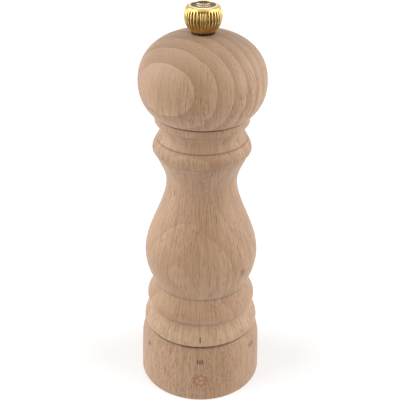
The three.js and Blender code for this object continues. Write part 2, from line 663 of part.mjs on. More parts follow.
// ---------------------------------------------------------------- body
const body = () => {
  const path = new THREE.Path();
  path.moveTo(bodyRecess, bodyFoot);
  path.lineTo(bodyRim - QUIRK, bodyFoot);
  path.lineTo(bodyRim, bodyFoot + QUIRK);
  let height = bodyFoot;
  // Swells on to the next feature of the outline, over a bore of the given radius.
  const next = ({ wall, rise }, bore, leanBelow, leanAbove) => {
    height += rise;
    swellTo(path, bore + wall, height, leanBelow, leanAbove);
  };
  next(FOOT_BEAD, bodyCounterbore, 0, 0.3);
  next(FOOT_GROOVE, bodyCounterbore, 0.35, 0.4);
  next(WAIST_BEAD, bodyCounterbore, 0.05, 0.8);
  next(WAIST_GROOVE, CHAMBER_RADIUS, 0.2, 0.3);
  next(BELLY, CHAMBER_RADIUS, 0.2, 0.6);
  next(NECK, CHAMBER_NECK_RADIUS, 0.3, 0.3);
  next(NECK_FLARE, CHAMBER_NECK_RADIUS, 0.48, 0.15);
  path.lineTo(CHAMBER_NECK_RADIUS + NECK_FLARE.wall + QUIRK, height + QUIRK / 2);
  next(SHOULDER_BEAD, CHAMBER_NECK_RADIUS, 0.2, 0.5);
  next(SHOULDER_TOP, CHAMBER_NECK_RADIUS, 0.45, 0.05);
  path.lineTo(CHAMBER_NECK_RADIUS + SHOULDER_TOP.wall - QUIRK, height + QUIRK / 2);
  path.lineTo(CHAMBER_NECK_RADIUS + SHOULDER_TOP.wall - QUIRK, height + 2 * QUIRK);
  next(COVE, CHAMBER_NECK_RADIUS, 0.1, 0.3);
  next(COLLAR, CHAMBER_NECK_RADIUS, 0.5, 0.1);
  path.lineTo(collarRadius, collarHeight + QUIRK / 2);
  path.lineTo(collarRadius + QUIRK, bodyTop - QUIRK);
  path.lineTo(collarRadius, bodyTop);
  path.lineTo(CHAMBER_NECK_RADIUS, bodyTop);
  path.lineTo(CHAMBER_NECK_RADIUS, neckHeight - CHAMBER_BELOW_NECK);
  path.lineTo(CHAMBER_RADIUS, bellyHeight + CHAMBER_ABOVE_BELLY);
  path.lineTo(CHAMBER_RADIUS, bodyShoulder);
  path.lineTo(bodyCounterbore, bodyShoulder);
  path.lineTo(bodyCounterbore, bodyRecessTop);
  path.lineTo(bodyRecess, bodyRecessTop);
  path.lineTo(bodyRecess, bodyFoot);
  const screwHoles = pilotHoles(flangeScrewCircle, FLANGE_SCREW_ANGLES, bodyRecessTop, SCREW_GRIP + FIT);
  return cutAway(revolve(outline(path)), [...screwHoles, ballHole(bodyRecessTop, detentPocketTop)]);
};

const housingScrew = () => {
  const length = bodyRecessTop + SCREW_GRIP - screwHeadBottom - SCREW_HEAD_HEIGHT;
  return panScrew(length).translate(0, 0, screwHeadBottom);
};

// ---------------------------------------------------------------- head
const PLATE_SCREW_ANGLES = [0, Math.PI];

const head = () => {
  const path = new THREE.Path();
  const rise = HEAD_HEIGHT - HEAD_EQUATOR;
  path.moveTo(headBore, tenonBottom);
  path.lineTo(tenonRadius, tenonBottom);
  path.lineTo(tenonRadius, headFoot);
  path.lineTo(collarRadius + HEAD_FOOT_OUTSET - QUIRK, headFoot);
  path.lineTo(collarRadius + HEAD_FOOT_OUTSET, headFoot + QUIRK);
  swellTo(path, HEAD_RADIUS, headFoot + HEAD_EQUATOR, 0.02, 0.68);
  path.bezierCurveTo(
    HEAD_RADIUS,
    headFoot + HEAD_EQUATOR + rise * HEAD_FULLNESS,
    headBore + (HEAD_RADIUS - headBore) * CROWN_FLATNESS,
    crown,
    headBore,
    crown,
  );
  path.lineTo(headBore, tenonBottom);
  const holes = pilotHoles(plateScrewCircle, PLATE_SCREW_ANGLES, tenonBottom, SCREW_GRIP + FIT);
  return cutAway(revolve(outline(path)), holes);
};

const drivePlate = () => {
  const shape = new THREE.Shape().absarc(0, 0, drivePlateRadius, 0, 2 * Math.PI, false);
  const half = squareHole / 2;
  const square = [[-half, -half], [-half, half], [half, half], [half, -half]];
  shape.holes.push(new THREE.Path(square.map(([x, y]) => new THREE.Vector2(x, y))));
  for (const angle of PLATE_SCREW_ANGLES) {
    const [x, y] = polar(plateScrewCircle, angle);
    shape.holes.push(new THREE.Path().absarc(x, y, SCREW_SHANK_RADIUS + FIT, 0, 2 * Math.PI, true));
  }
  const plate = new THREE.ExtrudeGeometry(shape, {
    depth: DRIVE_PLATE_THICKNESS,
    bevelEnabled: false,
    curveSegments: 8,
  });
  return plate.translate(0, 0, drivePlateBottom);
};

const plateScrew = () => {
  const bottom = drivePlateBottom - FIT - SCREW_HEAD_HEIGHT;
  return panScrew(tenonBottom + SCREW_GRIP - bottom - SCREW_HEAD_HEIGHT).translate(0, 0, bottom);
};

// ---------------------------------------------------------------- knob
const knobWasher = () =>
  tube(knobBore, washerRadius, washerBottom, washerBottom + WASHER_THICKNESS, TURNED_SIDES / 2);

const knob = () => {
  const centre = knobFoot + Math.sqrt(KNOB_RADIUS ** 2 - knobFootRadius ** 2);
  const shoulder = knobTop - KNOB_SHOULDER;
  const lowest = Math.asin((knobFoot - centre) / KNOB_RADIUS);
  const highest = Math.asin((shoulder - centre) / KNOB_RADIUS);
  const path = new THREE.Path();
  path.moveTo(knobBore, knobFoot);
  path.lineTo(knobFootRadius, knobFoot);
  path.absarc(0, centre, KNOB_RADIUS, lowest, highest, false);
  path.quadraticCurveTo(KNOB_RIM_RADIUS + KNOB_SHOULDER / 2, knobTop, KNOB_RIM_RADIUS, knobTop);
  path.lineTo(BADGE_RADIUS + FIT, knobTop);
  path.lineTo(BADGE_RADIUS + FIT, badgeTop - BADGE_THICKNESS - FIT);
  path.lineTo(0, badgeTop - BADGE_THICKNESS - FIT);
  path.lineTo(0, shaftTop + 2 * FIT);
  path.lineTo(knobBore, shaftTop + 2 * FIT);
  path.lineTo(knobBore, knobFoot);
  const points = outline(path);
  const start = points.findIndex((point) => point.x === 0);
  const loop = [...points.slice(start + 1, -1), ...points.slice(0, start + 1)];
  return cutTeeth(revolve(loop, 2 * KNOB_FLUTES), {
    from: knobFootRadius + FIT,
    to: KNOB_RADIUS + FIT,
    depth: -FLUTE_DEPTH,
    sides: 2 * KNOB_FLUTES,
  });
};

const knobBadge = () => rod(BADGE_RADIUS, badgeTop - BADGE_THICKNESS, badgeTop, TURNED_SIDES);

// ---------------------------------------------------------------- assembly
const assembly = new THREE.Group();

const addPiece = (parent, name, geometry, finish) => {
  const mesh = new THREE.Mesh(geometry, finish);
  mesh.name = name;
  parent.add(mesh);
  return mesh;
};

const addCircle = (parent, name, geometry, finish, circle, angles) =>
  angles.forEach((angle, i) => {
    const mesh = addPiece(parent, `${name}_${i + 1}`, geometry, finish);
    mesh.position.set(...polar(circle, angle), 0);
  });

const bodyGroup = new THREE.Group();
addPiece(bodyGroup, "body", body(), beech);
addPiece(bodyGroup, "housing", housing(), darkPlastic);
addCircle(bodyGroup, "housing_screw", housingScrew(), steel, flangeScrewCircle, FLANGE_SCREW_ANGLES);
addPiece(bodyGroup, "housing_clip", housingClip(), steel);
addPiece(bodyGroup, "outer_burr", outerBurr(), hardSteel);
addPiece(bodyGroup, "guide_bridge", guideBridge(), steel);
addPiece(bodyGroup, "detent_spring", detentSpring(), steel);
addPiece(bodyGroup, "detent_ball", detentBall(), steel);
addPiece(bodyGroup, "carrier", carrier(), steel);
addPiece(bodyGroup, "thrust_washer", thrustWasher(), brass);

const ringGroup = new THREE.Group();
addPiece(ringGroup, "adjusting_ring", adjustingRing(), beech);
addPiece(ringGroup, "ring_insert", ringInsert(), darkPlastic);
addCircle(ringGroup, "ring_screw", ringScrew(), steel, ringScrewCircle, RING_SCREW_ANGLES);

const shaftGroup = new THREE.Group();
addPiece(shaftGroup, "shaft", shaft(), aluminium);
addPiece(shaftGroup, "shaft_bush", shaftBush(), whiteNylon);
addPiece(shaftGroup, "shaft_clip_lower", shaftClip(lowerClipBottom), steel);
addPiece(shaftGroup, "shaft_clip_upper", shaftClip(upperClipBottom), steel);
addPiece(shaftGroup, "inner_burr", innerBurr(), hardSteel);
addPiece(shaftGroup, "burr_spring", burrSpring(), steel);

const headGroup = new THREE.Group();
addPiece(headGroup, "head", head(), beech);
addPiece(headGroup, "drive_plate", drivePlate(), steel);
addCircle(headGroup, "plate_screw", plateScrew(), steel, plateScrewCircle, PLATE_SCREW_ANGLES);
addPiece(headGroup, "knob_washer", knobWasher(), darkPlastic);
addPiece(headGroup, "knob", knob(), brass);
addPiece(headGroup, "knob_badge", knobBadge(), darkPlastic);

shaftGroup.add(headGroup);
assembly.add(bodyGroup, ringGroup, shaftGroup);

export default assembly;
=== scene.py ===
"""Turned beech pepper mill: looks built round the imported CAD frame. Metres, +Z up, table at z = 0."""

import json
import math

import bmesh
import bpy
from mathutils import Matrix, Vector


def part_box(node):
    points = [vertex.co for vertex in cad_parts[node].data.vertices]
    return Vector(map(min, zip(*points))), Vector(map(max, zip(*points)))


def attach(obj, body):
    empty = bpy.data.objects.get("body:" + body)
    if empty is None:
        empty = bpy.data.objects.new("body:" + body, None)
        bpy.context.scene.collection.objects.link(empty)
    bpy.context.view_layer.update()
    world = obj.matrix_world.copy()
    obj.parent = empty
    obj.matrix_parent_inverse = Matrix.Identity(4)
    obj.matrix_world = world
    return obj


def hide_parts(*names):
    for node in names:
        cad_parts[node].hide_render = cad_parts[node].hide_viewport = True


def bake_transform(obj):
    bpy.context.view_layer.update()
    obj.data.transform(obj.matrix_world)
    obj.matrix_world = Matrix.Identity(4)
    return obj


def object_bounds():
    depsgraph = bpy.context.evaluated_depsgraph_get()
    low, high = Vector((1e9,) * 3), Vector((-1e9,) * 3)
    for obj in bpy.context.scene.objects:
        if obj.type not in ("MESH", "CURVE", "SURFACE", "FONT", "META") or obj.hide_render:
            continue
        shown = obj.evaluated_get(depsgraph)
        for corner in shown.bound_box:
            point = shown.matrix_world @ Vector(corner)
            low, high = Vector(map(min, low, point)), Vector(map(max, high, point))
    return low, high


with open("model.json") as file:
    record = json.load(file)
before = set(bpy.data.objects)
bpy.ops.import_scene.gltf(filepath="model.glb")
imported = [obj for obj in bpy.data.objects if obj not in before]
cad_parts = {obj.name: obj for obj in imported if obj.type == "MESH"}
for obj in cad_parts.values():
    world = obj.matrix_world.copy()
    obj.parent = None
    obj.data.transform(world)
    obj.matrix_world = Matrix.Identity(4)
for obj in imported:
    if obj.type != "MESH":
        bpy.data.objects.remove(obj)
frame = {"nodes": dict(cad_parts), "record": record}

CAD_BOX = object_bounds()
MM = 0.001
HEIGHT = CAD_BOX[1].z

# ---------------------------------------------------------------- finish of the meshes
TURNED_SIDES = 180  # columns round a turned piece
SMALL_SIDES = 64  # columns round a small one
CORNER_ANGLE = math.radians(33)  # a CAD outline that turns more than this has a true edge there
EDGE_ROUND = 0.22 * MM  # how far an edge is sanded back
EDGE_STEPS = 4  # flats that a rounded edge is made of
CURVE_STEP = 0.55 * MM  # spacing of the points along a smooth outline
SHARP_ANGLE = math.radians(40)  # faces that meet at more than this are shaded with an edge between them
CAD_SHARP_ANGLE = math.radians(32)  # the same on a piece that keeps its CAD faces
CAD_BEVEL_ANGLE = math.radians(38)  # edges of a CAD piece that are broken
CAD_BEVEL = 0.12 * MM
TOUCHING = 1e-6  # metres: points closer than this lie on the same plane

# ---------------------------------------------------------------- growth of the wood
# facing: the compass angle that the layers face, 0 to the front. tilt: how far they lean, in degrees.
# layer: their thickness in mm. shift: where they start, in layers. drift: how far they wander, in mm.
# bow: how strongly they curve. contrast: of each layer from its pale to its dark side.
# bare: the share of flecks where they are fewest. crowd: shifts the patches where they are most.
# crown: the heights in mm over which side grain turns to end grain. foot: those below which the wood is painted paler,
# as painted light on the lower body.
HEAD_GRAIN = {
    "facing": -37, "tilt": 10, "layer": 5.2, "shift": 1.55, "drift": 3.0, "bow": 0.002, "contrast": 1.3,
    "bare": 0.2, "crowd": (-0.54, 1.2, 0), "crown": (150, 168),
}
BODY_GRAIN = {
    "facing": -17, "tilt": -1, "layer": 6.4, "shift": 0.27, "drift": 6.0, "bow": 0.006, "contrast": 0.5,
    "bare": 0.4, "foot": (36, 41),
}
RING_GRAIN = {
    "facing": 24, "tilt": 2, "layer": 5.0, "shift": 0.2, "drift": 5.0, "bow": 0.003, "contrast": 0.5, "bare": 0.4,
}
NO_CROWN, NO_FOOT = (500, 600), (-90, -80)  # heights in mm that no piece reaches
FACE_RADIUS = 25  # mm, of the cylinder that fibres and flecks are laid out on
# (place in the layer, grey): the thin pale line where growth starts, then slowly darker to the year's end
YEAR_TONES = ((0.0, 0.60), (0.03, 0.70), (0.07, 0.60), (0.4, 0.54), (0.85, 0.42), (0.975, 0.34), (1.0, 0.50))
YEAR_SPREAD = (0.75, 1.25)  # contrast of the faintest and the strongest layer
CROWN_TONE = 0.06  # taken off the tone on the crown
FOOT_PAINTED_LIGHT = 0.24  # painted light: added to the tone below the foot's heights
BROAD_TONE = 0.35  # how far wide patches swing the tone
TONE_RANGE = (0.25, 0.75)  # from the dark wood to the pale
RIPPLE = 0.9  # mm that the layers waver by
# scales of the noises, in patches per mm: out through the layers, along them and up the trunk
DRIFT_SCALE, RIPPLE_SCALE, BROAD_SCALE = (0.03, 0.04, 0.012), (0.1, 0.16, 0.06), (0.05, 0.05, 0.02)
END_GRAIN_SCALE, PORE_SCALE, CROWD_SCALE = (1.4, 2.6, 0.1), (7, 7, 0.6), (0.06, 0.1, 0.03)
FIBRE_SCALE, STRAND_SCALE = (1.7, 1.7, 0.13), (0.9, 0.9, 0.05)  # laid on the turned face instead
# (cells per mm round, cells per mm up, largest half width in cells)
FLECK_KINDS = ((1.7, 0.2, 0.4), (1.3, 0.15, 0.3), (2.3, 0.32, 0.46), (2.0, 0.24, 0.4))
FLECK_STRENGTH = 0.8
WOOD_RELIEF = 0.05 * MM


def node_object(name):
    return frame["nodes"][name]


# ---------------------------------------------------------------- outlines read from the frame
def cad_outline(name):
    """The loop of (radius, height) points where a turned CAD node meets the half plane of +X."""
    points = {}
    on_plane = {}
    mesh = node_object(name).data
    for v in mesh.vertices:
        if abs(v.co.y) < TOUCHING and v.co.x > -TOUCHING:
            key = (round(v.co.x, 6), round(v.co.z, 6))
            on_plane[v.index] = key
            points[key] = set()
    for edge in mesh.edges:
        a, b = (on_plane.get(i) for i in edge.vertices)
        if a and b and a != b:
            points[a].add(b)
            points[b].add(a)
    return walk(points)


def walk(points):
    """Follows the edges from point to point, and crosses a stretch that has no edge at its own height."""
    loose = [p for p, near in points.items() if len(near) == 1]
    start = loose[0] if loose else min(points)
    path = [start]
    while True:
        onward = [p for p in points[path[-1]] if p not in path]
        if not onward:
            onward = [p for p in loose if p not in path and abs(p[1] - path[-1][1]) < TOUCHING]
        if not onward:
            return [Vector(p) for p in path]
        path.append(min(onward, key=lambda p: (Vector(p) - Vector(path[-1])).length))


def smooth_share(value):
    """0 below 0, 1 above 1 and an even rise between them."""
    held = min(1.0, max(0.0, value))
    return held * held * (3 - 2 * held)


def turn_at(before, here, after):
    return (here - before).angle(after - here, 0)


def smooth_outline(loop):
    """Puts curves back between a closed outline's true edges, and rounds the edges."""
    count = len(loop)
    edges = [i for i in range(count) if turn_at(loop[i - 1], loop[i], loop[(i + 1) % count]) > CORNER_ANGLE]
    loop = loop[edges[0]:] + loop[:edges[0]]
    edges = [i - edges[0] for i in edges] + [count]
    loop.append(loop[0])
    made = []
    for first, last in zip(edges, edges[1:]):
        run = loop[first:last + 1]
        made.append(catmull(run) if len(run) > 2 else run)
    return held_inside(round_edges(made), loop)


def catmull(run):
    """A curve through every point of an open run."""
    padded = [run[0] * 2 - run[1], *run, run[-1] * 2 - run[-2]]
    points = [run[0]]
    for a, b, c, d in zip(padded, padded[1:], padded[2:], padded[3:]):
        span = (c - b).length
        pieces = max(1, math.ceil(span / CURVE_STEP))
        into = (c - a) * (span / max((c - a).length, 1e-9))
        out = (d - b) * (span / max((d - b).length, 1e-9))
        for i in range(1, pieces + 1):
            t = i / pieces
            points.append(
                b * (2 * t**3 - 3 * t**2 + 1) + into * (t**3 - 2 * t**2 + t)
                + c * (3 * t**2 - 2 * t**3) + out * (t**3 - t**2)
            )
    return points


def held_inside(loop, bounds):
    """Keeps points that a curve carried past the CAD outline's own reach on it."""
    low, high = (Vector((pick(p.x for p in bounds), pick(p.y for p in bounds))) for pick in (min, max))
    return [Vector((min(max(p.x, low.x), high.x), min(max(p.y, low.y), high.y))) for p in loop]


def round_edges(runs):
    """Joins runs that end in true edges into one loop, with each edge rounded over."""
    loop = []
    for run, after in zip(runs, runs[1:] + runs[:1]):
        corner = run[-1]
        back = min(EDGE_ROUND, (run[-1] - run[-2]).length * 0.45)
        on = min(EDGE_ROUND, (after[1] - corner).length * 0.45)
        start = corner + (run[-2] - corner).normalized() * back
        end = corner + (after[1] - corner).normalized() * on
        loop += run[1:-1]
        for i in range(EDGE_STEPS + 1):
            t = i / EDGE_STEPS
            loop.append(start * (1 - t) ** 2 + corner * 2 * t * (1 - t) + end * t**2)
    return loop


# ---------------------------------------------------------------- meshes
def mesh_piece(name, verts, faces, material, sharp=SHARP_ANGLE):
    """A new object of these faces, all turned outwards."""
    mesh = bpy.data.meshes.new(name)
    mesh.from_pydata(verts, [], faces)
    tidy = bmesh.new()
    tidy.from_mesh(mesh)
    bmesh.ops.remove_doubles(tidy, verts=tidy.verts, dist=1e-8)
    bmesh.ops.recalc_face_normals(tidy, faces=tidy.faces)
    tidy.to_mesh(mesh)
    tidy.free()
    mesh.shade_smooth()
    mesh.set_sharp_from_angle(angle=sharp)
    piece = bpy.data.objects.new(name, mesh)
    bpy.context.scene.collection.objects.link(piece)
    mesh.materials.append(material)
    return piece


def revolve(name, loop, material, sides=TURNED_SIDES, closed=True, relief=None):
    """A solid of revolution. relief(angle, radius, height) gives each point's own radius."""
    verts, faces = [], []
    rows = len(loop)
    for column in range(sides):
        angle = 2 * math.pi * column / sides
        for point in loop:
            radius = relief(angle, point.x, point.y) if relief else point.x
            verts.append((radius * math.cos(angle), radius * math.sin(angle), point.y))
    for column in range(sides):
        for row in range(rows if closed else rows - 1):
            here, there = column * rows, (column + 1) % sides * rows
            up = (row + 1) % rows
            faces.append((here + row, there + row, there + up, here + up))
    return mesh_piece(name, verts, faces, material)


def turned(node, material):
    """A turned CAD node again, on a smooth outline."""
    stands_for(revolve(node + "_fine", smooth_outline(cad_outline(node)), material), node)


def washer(node, bore, material, seated):
    """A flat ring as wide as its CAD node, and thicker by the gaps that the CAD leaves above and below it."""
    low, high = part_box(node)
    bottom, top = low.z - seated, high.z + seated
    corners = [Vector(c) for c in ((bore, bottom), (high.x, bottom), (high.x, top), (bore, top))]
    runs = [[a, b] for a, b in zip(corners, corners[1:] + corners[:1])]
    stands_for(revolve(node + "_fine", round_edges(runs), material, SMALL_SIDES), node)


def stands_for(piece, *nodes):
    """The piece takes the place and the body of a CAD node."""
    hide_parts(*nodes)
    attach(piece, BODY_OF[nodes[0]])


BODY_OF = {n: body for body, names in frame["record"]["behaviour"]["bodies"].items() for n in names}
SLOT_OF = {row["node"]: row["material_slot"] for row in frame["record"]["subparts"]}


# ---------------------------------------------------------------- material building
MILLIMETRES = (1000, 1000, 1000)  # scale of coordinates in mm
BUMP_STRENGTH = 0.5


class Shader:
    """A material's node tree, with short ways to add and join nodes."""

    def __init__(self, name):
        self.material = bpy.data.materials.new(name)
        self.material.use_nodes = True
        self.nodes = self.material.node_tree.nodes
        self.links = self.material.node_tree.links
        self.surface = self.nodes["Principled BSDF"]

    def put(self, socket, value):
        """Joins another node's output to the socket, or sets its value."""
        if isinstance(value, bpy.types.NodeSocket):
            self.links.new(value, socket)
        else:
            socket.default_value = value

    def add(self, kind, *values, out=0, **settings):
        """A new node's output. values go to its inputs in turn, in_Some_Name to that input, the rest to the node."""
        node = self.nodes.new(kind)
        inputs = {key[3:].replace("_", " "): value for key, value in settings.items() if key.startswith("in_")}
        for key in settings:
            if not key.startswith("in_"):
                setattr(node, key, settings[key])
        for key, value in inputs.items():
            self.put(node.inputs[key], value)
        for socket, value in zip(node.inputs, values):
            if value is not None:
                self.put(socket, value)
        return node.outputs[out]

    def math(self, operation, *values):
        return self.add("ShaderNodeMath", *values, operation=operation)

    def mix(self, share, a, b, blend="MIX"):
        node = self.nodes.new("ShaderNodeMix")
        node.data_type = "RGBA"
        node.blend_type = blend
        self.put(node.inputs[0], share)
        self.put(node.inputs[6], a)
        self.put(node.inputs[7], b)
        return node.outputs[2]

    def ramp(self, value, stops):
        """value as a grey, read off between the stops."""
        node = self.nodes.new("ShaderNodeValToRGB")
        self.put(node.inputs[0], value)
        band = node.color_ramp.elements
        while len(band) < len(stops):
            band.new(0.5)
        for element, (place, grey) in zip(band, stops):
            element.position = place
            element.color = (grey, grey, grey, 1)
        return node.outputs[0]

    def fade(self, value, low, high, from_low=0.0, from_high=1.0):
        """value going from low to high becomes from_low to from_high, held at both ends."""
        return self.add("ShaderNodeMapRange", value, low, high, from_low, from_high, interpolation_type="SMOOTHSTEP")

    def fade_between(self, share, a, b):
        """The number a where share is 0 and b where it is 1."""
        return self.add("ShaderNodeMapRange", share, 0.0, 1.0, a, b)

    def swing(self, value, reach):
        """A value round 0.5, brought to 0 and spread by reach."""
        return self.math("MULTIPLY", self.math("SUBTRACT", value, 0.5), reach)

    def coords(self, scale=MILLIMETRES):
        """The object's own coordinates, in metres times scale."""
        return self.add("ShaderNodeMapping", self.add("ShaderNodeTexCoord", out=3), None, None, scale)

    def noise(self, vector, scale=1.0, detail=2.0, roughness=0.5):
        return self.add(
            "ShaderNodeTexNoise", in_Vector=vector, in_Scale=scale, in_Detail=detail, in_Roughness=roughness
        )

    def bump(self, height, depth):
        bumped = self.add("ShaderNodeBump", in_Height=height, in_Distance=depth, in_Strength=BUMP_STRENGTH)
        self.put(self.surface.inputs["Normal"], bumped)

    def finish(self, **values):
        for key, value in values.items():
            self.put(self.surface.inputs[key.replace("_", " ")], value)
        return self.material


def srgb(red, green, blue):
    """An 8-bit display colour as the linear colour that shaders use."""
    return tuple(((c / 255 + 0.055) / 1.055) ** 2.4 if c > 10 else c / 255 / 12.92 for c in (red, green, blue))


PALE_BEECH = srgb(177, 146, 115)
DARK_BEECH = srgb(152, 116, 85)
PINK_BEECH = srgb(168, 129, 107)
STRAW_BEECH = srgb(162, 132, 94)
FIBRE_BEECH = srgb(134, 98, 70)
FLECK_BEECH = srgb(94, 61, 39)
END_GRAIN_SHADE = (0.84, 0.87, 0.89)  # multiplies the colour on the crown
# (colour, scale and shift of the noise, noise from which and up to which it comes in, its greatest share)
TINT_PATCHES = (
    (PINK_BEECH, (0.09, 0.2, 0.012), (5, 2, 9), 0.5, 0.72, 0.55),
    (STRAW_BEECH, (0.07, 0.16, 0.014), (1, 8, 4), 0.52, 0.75, 0.5),
)


def wood(name, grain, extras=None):
    """Beech: yearly layers shown as contours where the turning cuts them, ray flecks, pores and fine fibres."""
    s = Shader(name)
    millimetres = s.coords()
    # u runs out through the layers, v along them and w up the trunk
    grown = s.add(
        "ShaderNodeVectorRotate", in_Vector=millimetres, in_Angle=math.radians(90 - grain["facing"]),
        rotation_type="Z_AXIS",
    )
    grown = s.add(
        "ShaderNodeVectorRotate", in_Vector=grown, in_Angle=math.radians(grain["tilt"]), rotation_type="Y_AXIS"
    )

    def stretched(scale, shift=(0, 0, 0)):
        return s.add("ShaderNodeMapping", grown, shift, None, scale)

    u, v, _ = s.add("ShaderNodeSeparateXYZ", grown).node.outputs
    drift = s.swing(s.noise(stretched(DRIFT_SCALE), detail=1), grain["drift"])
    ripple = s.swing(s.noise(stretched(RIPPLE_SCALE)), RIPPLE)
    bow = s.math("MULTIPLY", s.math("MULTIPLY", v, v), grain["bow"])
    depth = s.math("ADD", s.math("ADD", u, bow), s.math("ADD", drift, ripple))
    year = s.math("ADD", s.math("DIVIDE", depth, grain["layer"]), grain["shift"])
    season = s.math("FRACT", year)
    luck = s.add("ShaderNodeTexWhiteNoise", in_W=s.math("FLOOR", year), noise_dimensions="1D")
    contrast = s.fade(luck, 0, 1, *(share * grain["contrast"] for share in YEAR_SPREAD))
    tone = s.math("ADD", s.swing(s.ramp(season, YEAR_TONES), contrast), 0.5)

    x, y, height = s.add("ShaderNodeSeparateXYZ", millimetres).node.outputs
    crown = s.fade(height, *grain.get("crown", NO_CROWN))
    foot = s.fade(height, *grain.get("foot", NO_FOOT), 1, 0)
    tone = s.math("SUBTRACT", tone, s.math("MULTIPLY", crown, CROWN_TONE))
    # painted light: the tone is raised below the foot's heights, so the lower body is painted paler
    tone = s.math("ADD", tone, s.math("MULTIPLY", foot, FOOT_PAINTED_LIGHT))
    tone = s.math("ADD", tone, s.swing(s.noise(stretched(BROAD_SCALE, (3, 7, 1))), BROAD_TONE))
    colour = s.mix(s.fade(tone, *TONE_RANGE), (*DARK_BEECH, 1), (*PALE_BEECH, 1))
    for shade, scale, shift, low, high, most in TINT_PATCHES:
        colour = s.mix(s.fade(s.noise(stretched(scale, shift)), low, high, 0, most), colour, (*shade, 1))

    # fibres and flecks follow the turned face up, as they look where a blade crosses them at a slant
    reach = s.math("DIVIDE", FACE_RADIUS, s.math("MAXIMUM", distance(s, x, y), 1.0))
    face = s.add("ShaderNodeCombineXYZ", s.math("MULTIPLY", x, reach), s.math("MULTIPLY", y, reach), height)
    fibre = s.noise(s.add("ShaderNodeMapping", face, None, None, FIBRE_SCALE), detail=3, roughness=0.7)
    strand = s.noise(s.add("ShaderNodeMapping", face, (4, 1, 6), None, STRAND_SCALE), detail=3, roughness=0.65)
    end_on = s.swing(s.noise(stretched(END_GRAIN_SCALE), detail=3, roughness=0.7), 1.1)
    fibre = s.fade_between(crown, fibre, s.math("ADD", end_on, 0.5))
    strand = s.fade_between(crown, strand, 0.5)
    colour = s.mix(s.fade(fibre, 0.44, 0.72, 0, 0.65), colour, (*FIBRE_BEECH, 1))
    colour = s.mix(s.fade(fibre, 0.26, 0.44, 0.35, 0), colour, (*PALE_BEECH, 1))
    colour = s.mix(s.fade(strand, 0.48, 0.7, 0, 0.4), colour, (*FIBRE_BEECH, 1))
    flecks = s.math("MULTIPLY", ray_flecks(s, face, stretched, grain), s.fade(crown, 0, 0.5, 1, 0))
    colour = s.mix(s.math("MULTIPLY", flecks, FLECK_STRENGTH), colour, (*FLECK_BEECH, 1))
    colour = s.mix(crown, colour, (*END_GRAIN_SHADE, 1), "MULTIPLY")
    for share, shade in (extra(s, millimetres) for extra in extras or ()):
        colour = s.mix(share, colour, (*shade, 1))
        flecks = s.math("MAXIMUM", flecks, share)
    pores = s.noise(stretched(PORE_SCALE))
    relief = s.math("SUBTRACT", s.math("ADD", s.math("MULTIPLY", fibre, 0.6), s.math("MULTIPLY", pores, 0.4)), flecks)
    s.bump(relief, WOOD_RELIEF)
    return s.finish(
        Base_Color=colour, Roughness=s.fade(fibre, 0.3, 0.7, 0.48, 0.6), Specular_IOR_Level=0.5, Sheen_Weight=0.12,
        Sheen_Roughness=0.5,
    )


def ray_flecks(s, face, stretched, grain):
    """Dark spindles: the ends of the rays, short along the layers and tall up the trunk."""
    flecks = None
    for kind, (across, tall, widest) in enumerate(FLECK_KINDS):
        laid = s.add("ShaderNodeMapping", face, (kind * 7.3, 3.1, 5.7), None, (across, across, tall))
        cells = s.add("ShaderNodeTexVoronoi", in_Scale=1.0, in_Vector=laid, in_Randomness=1.0).node
        chance = s.add("ShaderNodeSeparateColor", cells.outputs["Color"])
        reach = s.math("MULTIPLY", s.math("POWER", chance, 0.6), widest)
        spot = s.fade(cells.outputs["Distance"], s.math("MULTIPLY", reach, 0.2), reach, 1, 0)
        flecks = spot if flecks is None else s.math("MAXIMUM", flecks, spot)
    crowd = s.noise(stretched(CROWD_SCALE, grain.get("crowd", (0, 0, 0))))
    return s.math("MULTIPLY", flecks, s.fade(crowd, 0.42, 0.6, grain["bare"], 1))


# ---------------------------------------------------------------- marks on the wood
# Lengths in this section are in mm.
MARK_SPACING = math.radians(60)  # between the ring's settings
SETTINGS = 6
MARK_HEIGHT = 2.0
MARK_WIDTH = 0.66
MARK_PITCH = 1.06
RING_MARK_LEVEL = 22.05
BODY_MARK_LEVEL = 33.35
BODY_MARK_HEIGHT = 2.5
MARK_STRENGTH = 0.9
BODY_MARK_STRENGTH = 0.85
WHEEL_LEVEL = 11.6
WHEEL_SIZE = 1.22  # the stamp's unit of length, which the bands below are given in
WHEEL_TEETH = 9
WHEEL_SPOKES = 3
TEETH_BAND, RIM_BAND, SPOKE_BAND = (2.75, 0.42), (2.15, 0.26), (1.2, 0.8)  # (middle, half width) from the hub
HUB_RADIUS = 0.6
DOT_LEVELS = (7.0, 5.7)
DOT_PITCH = 1.25
DOT_RADIUS = 0.36
DOT_ROW_HALF = 5.6
BURNT = srgb(78, 50, 30)
STAMPED = srgb(138, 84, 54)
# dark brown of the knots and flaws, and of the painted shade in grooves and seams
FLAW_AND_SHADE_BROWN = srgb(82, 52, 32)


def unrolled(s, millimetres):
    """(angle, distance round the surface, height, radius): angle 0 is the front, and the right side is positive."""
    x, y, z = s.add("ShaderNodeSeparateXYZ", millimetres).node.outputs
    angle = s.math("ARCTAN2", x, s.math("MULTIPLY", y, -1))
    radius = distance(s, x, y)
    return angle, s.math("MULTIPLY", angle, radius), z, radius


def within(s, value, half, soft=0.1):
    """1 where value is no further than half from 0."""
    return s.fade(s.math("ABSOLUTE", value), half - soft, half + soft, 1, 0)


def both(s, *masks):
    joined = masks[0]
    for mask in masks[1:]:
        joined = s.math("MULTIPLY", joined, mask)
    return joined


def any_of(s, *masks):
    joined = masks[0]
    for mask in masks[1:]:
        joined = s.math("MAXIMUM", joined, mask)
    return joined


def distance(s, a, b):
    return s.math("SQRT", s.math("ADD", s.math("MULTIPLY", a, a), s.math("MULTIPLY", b, b)))


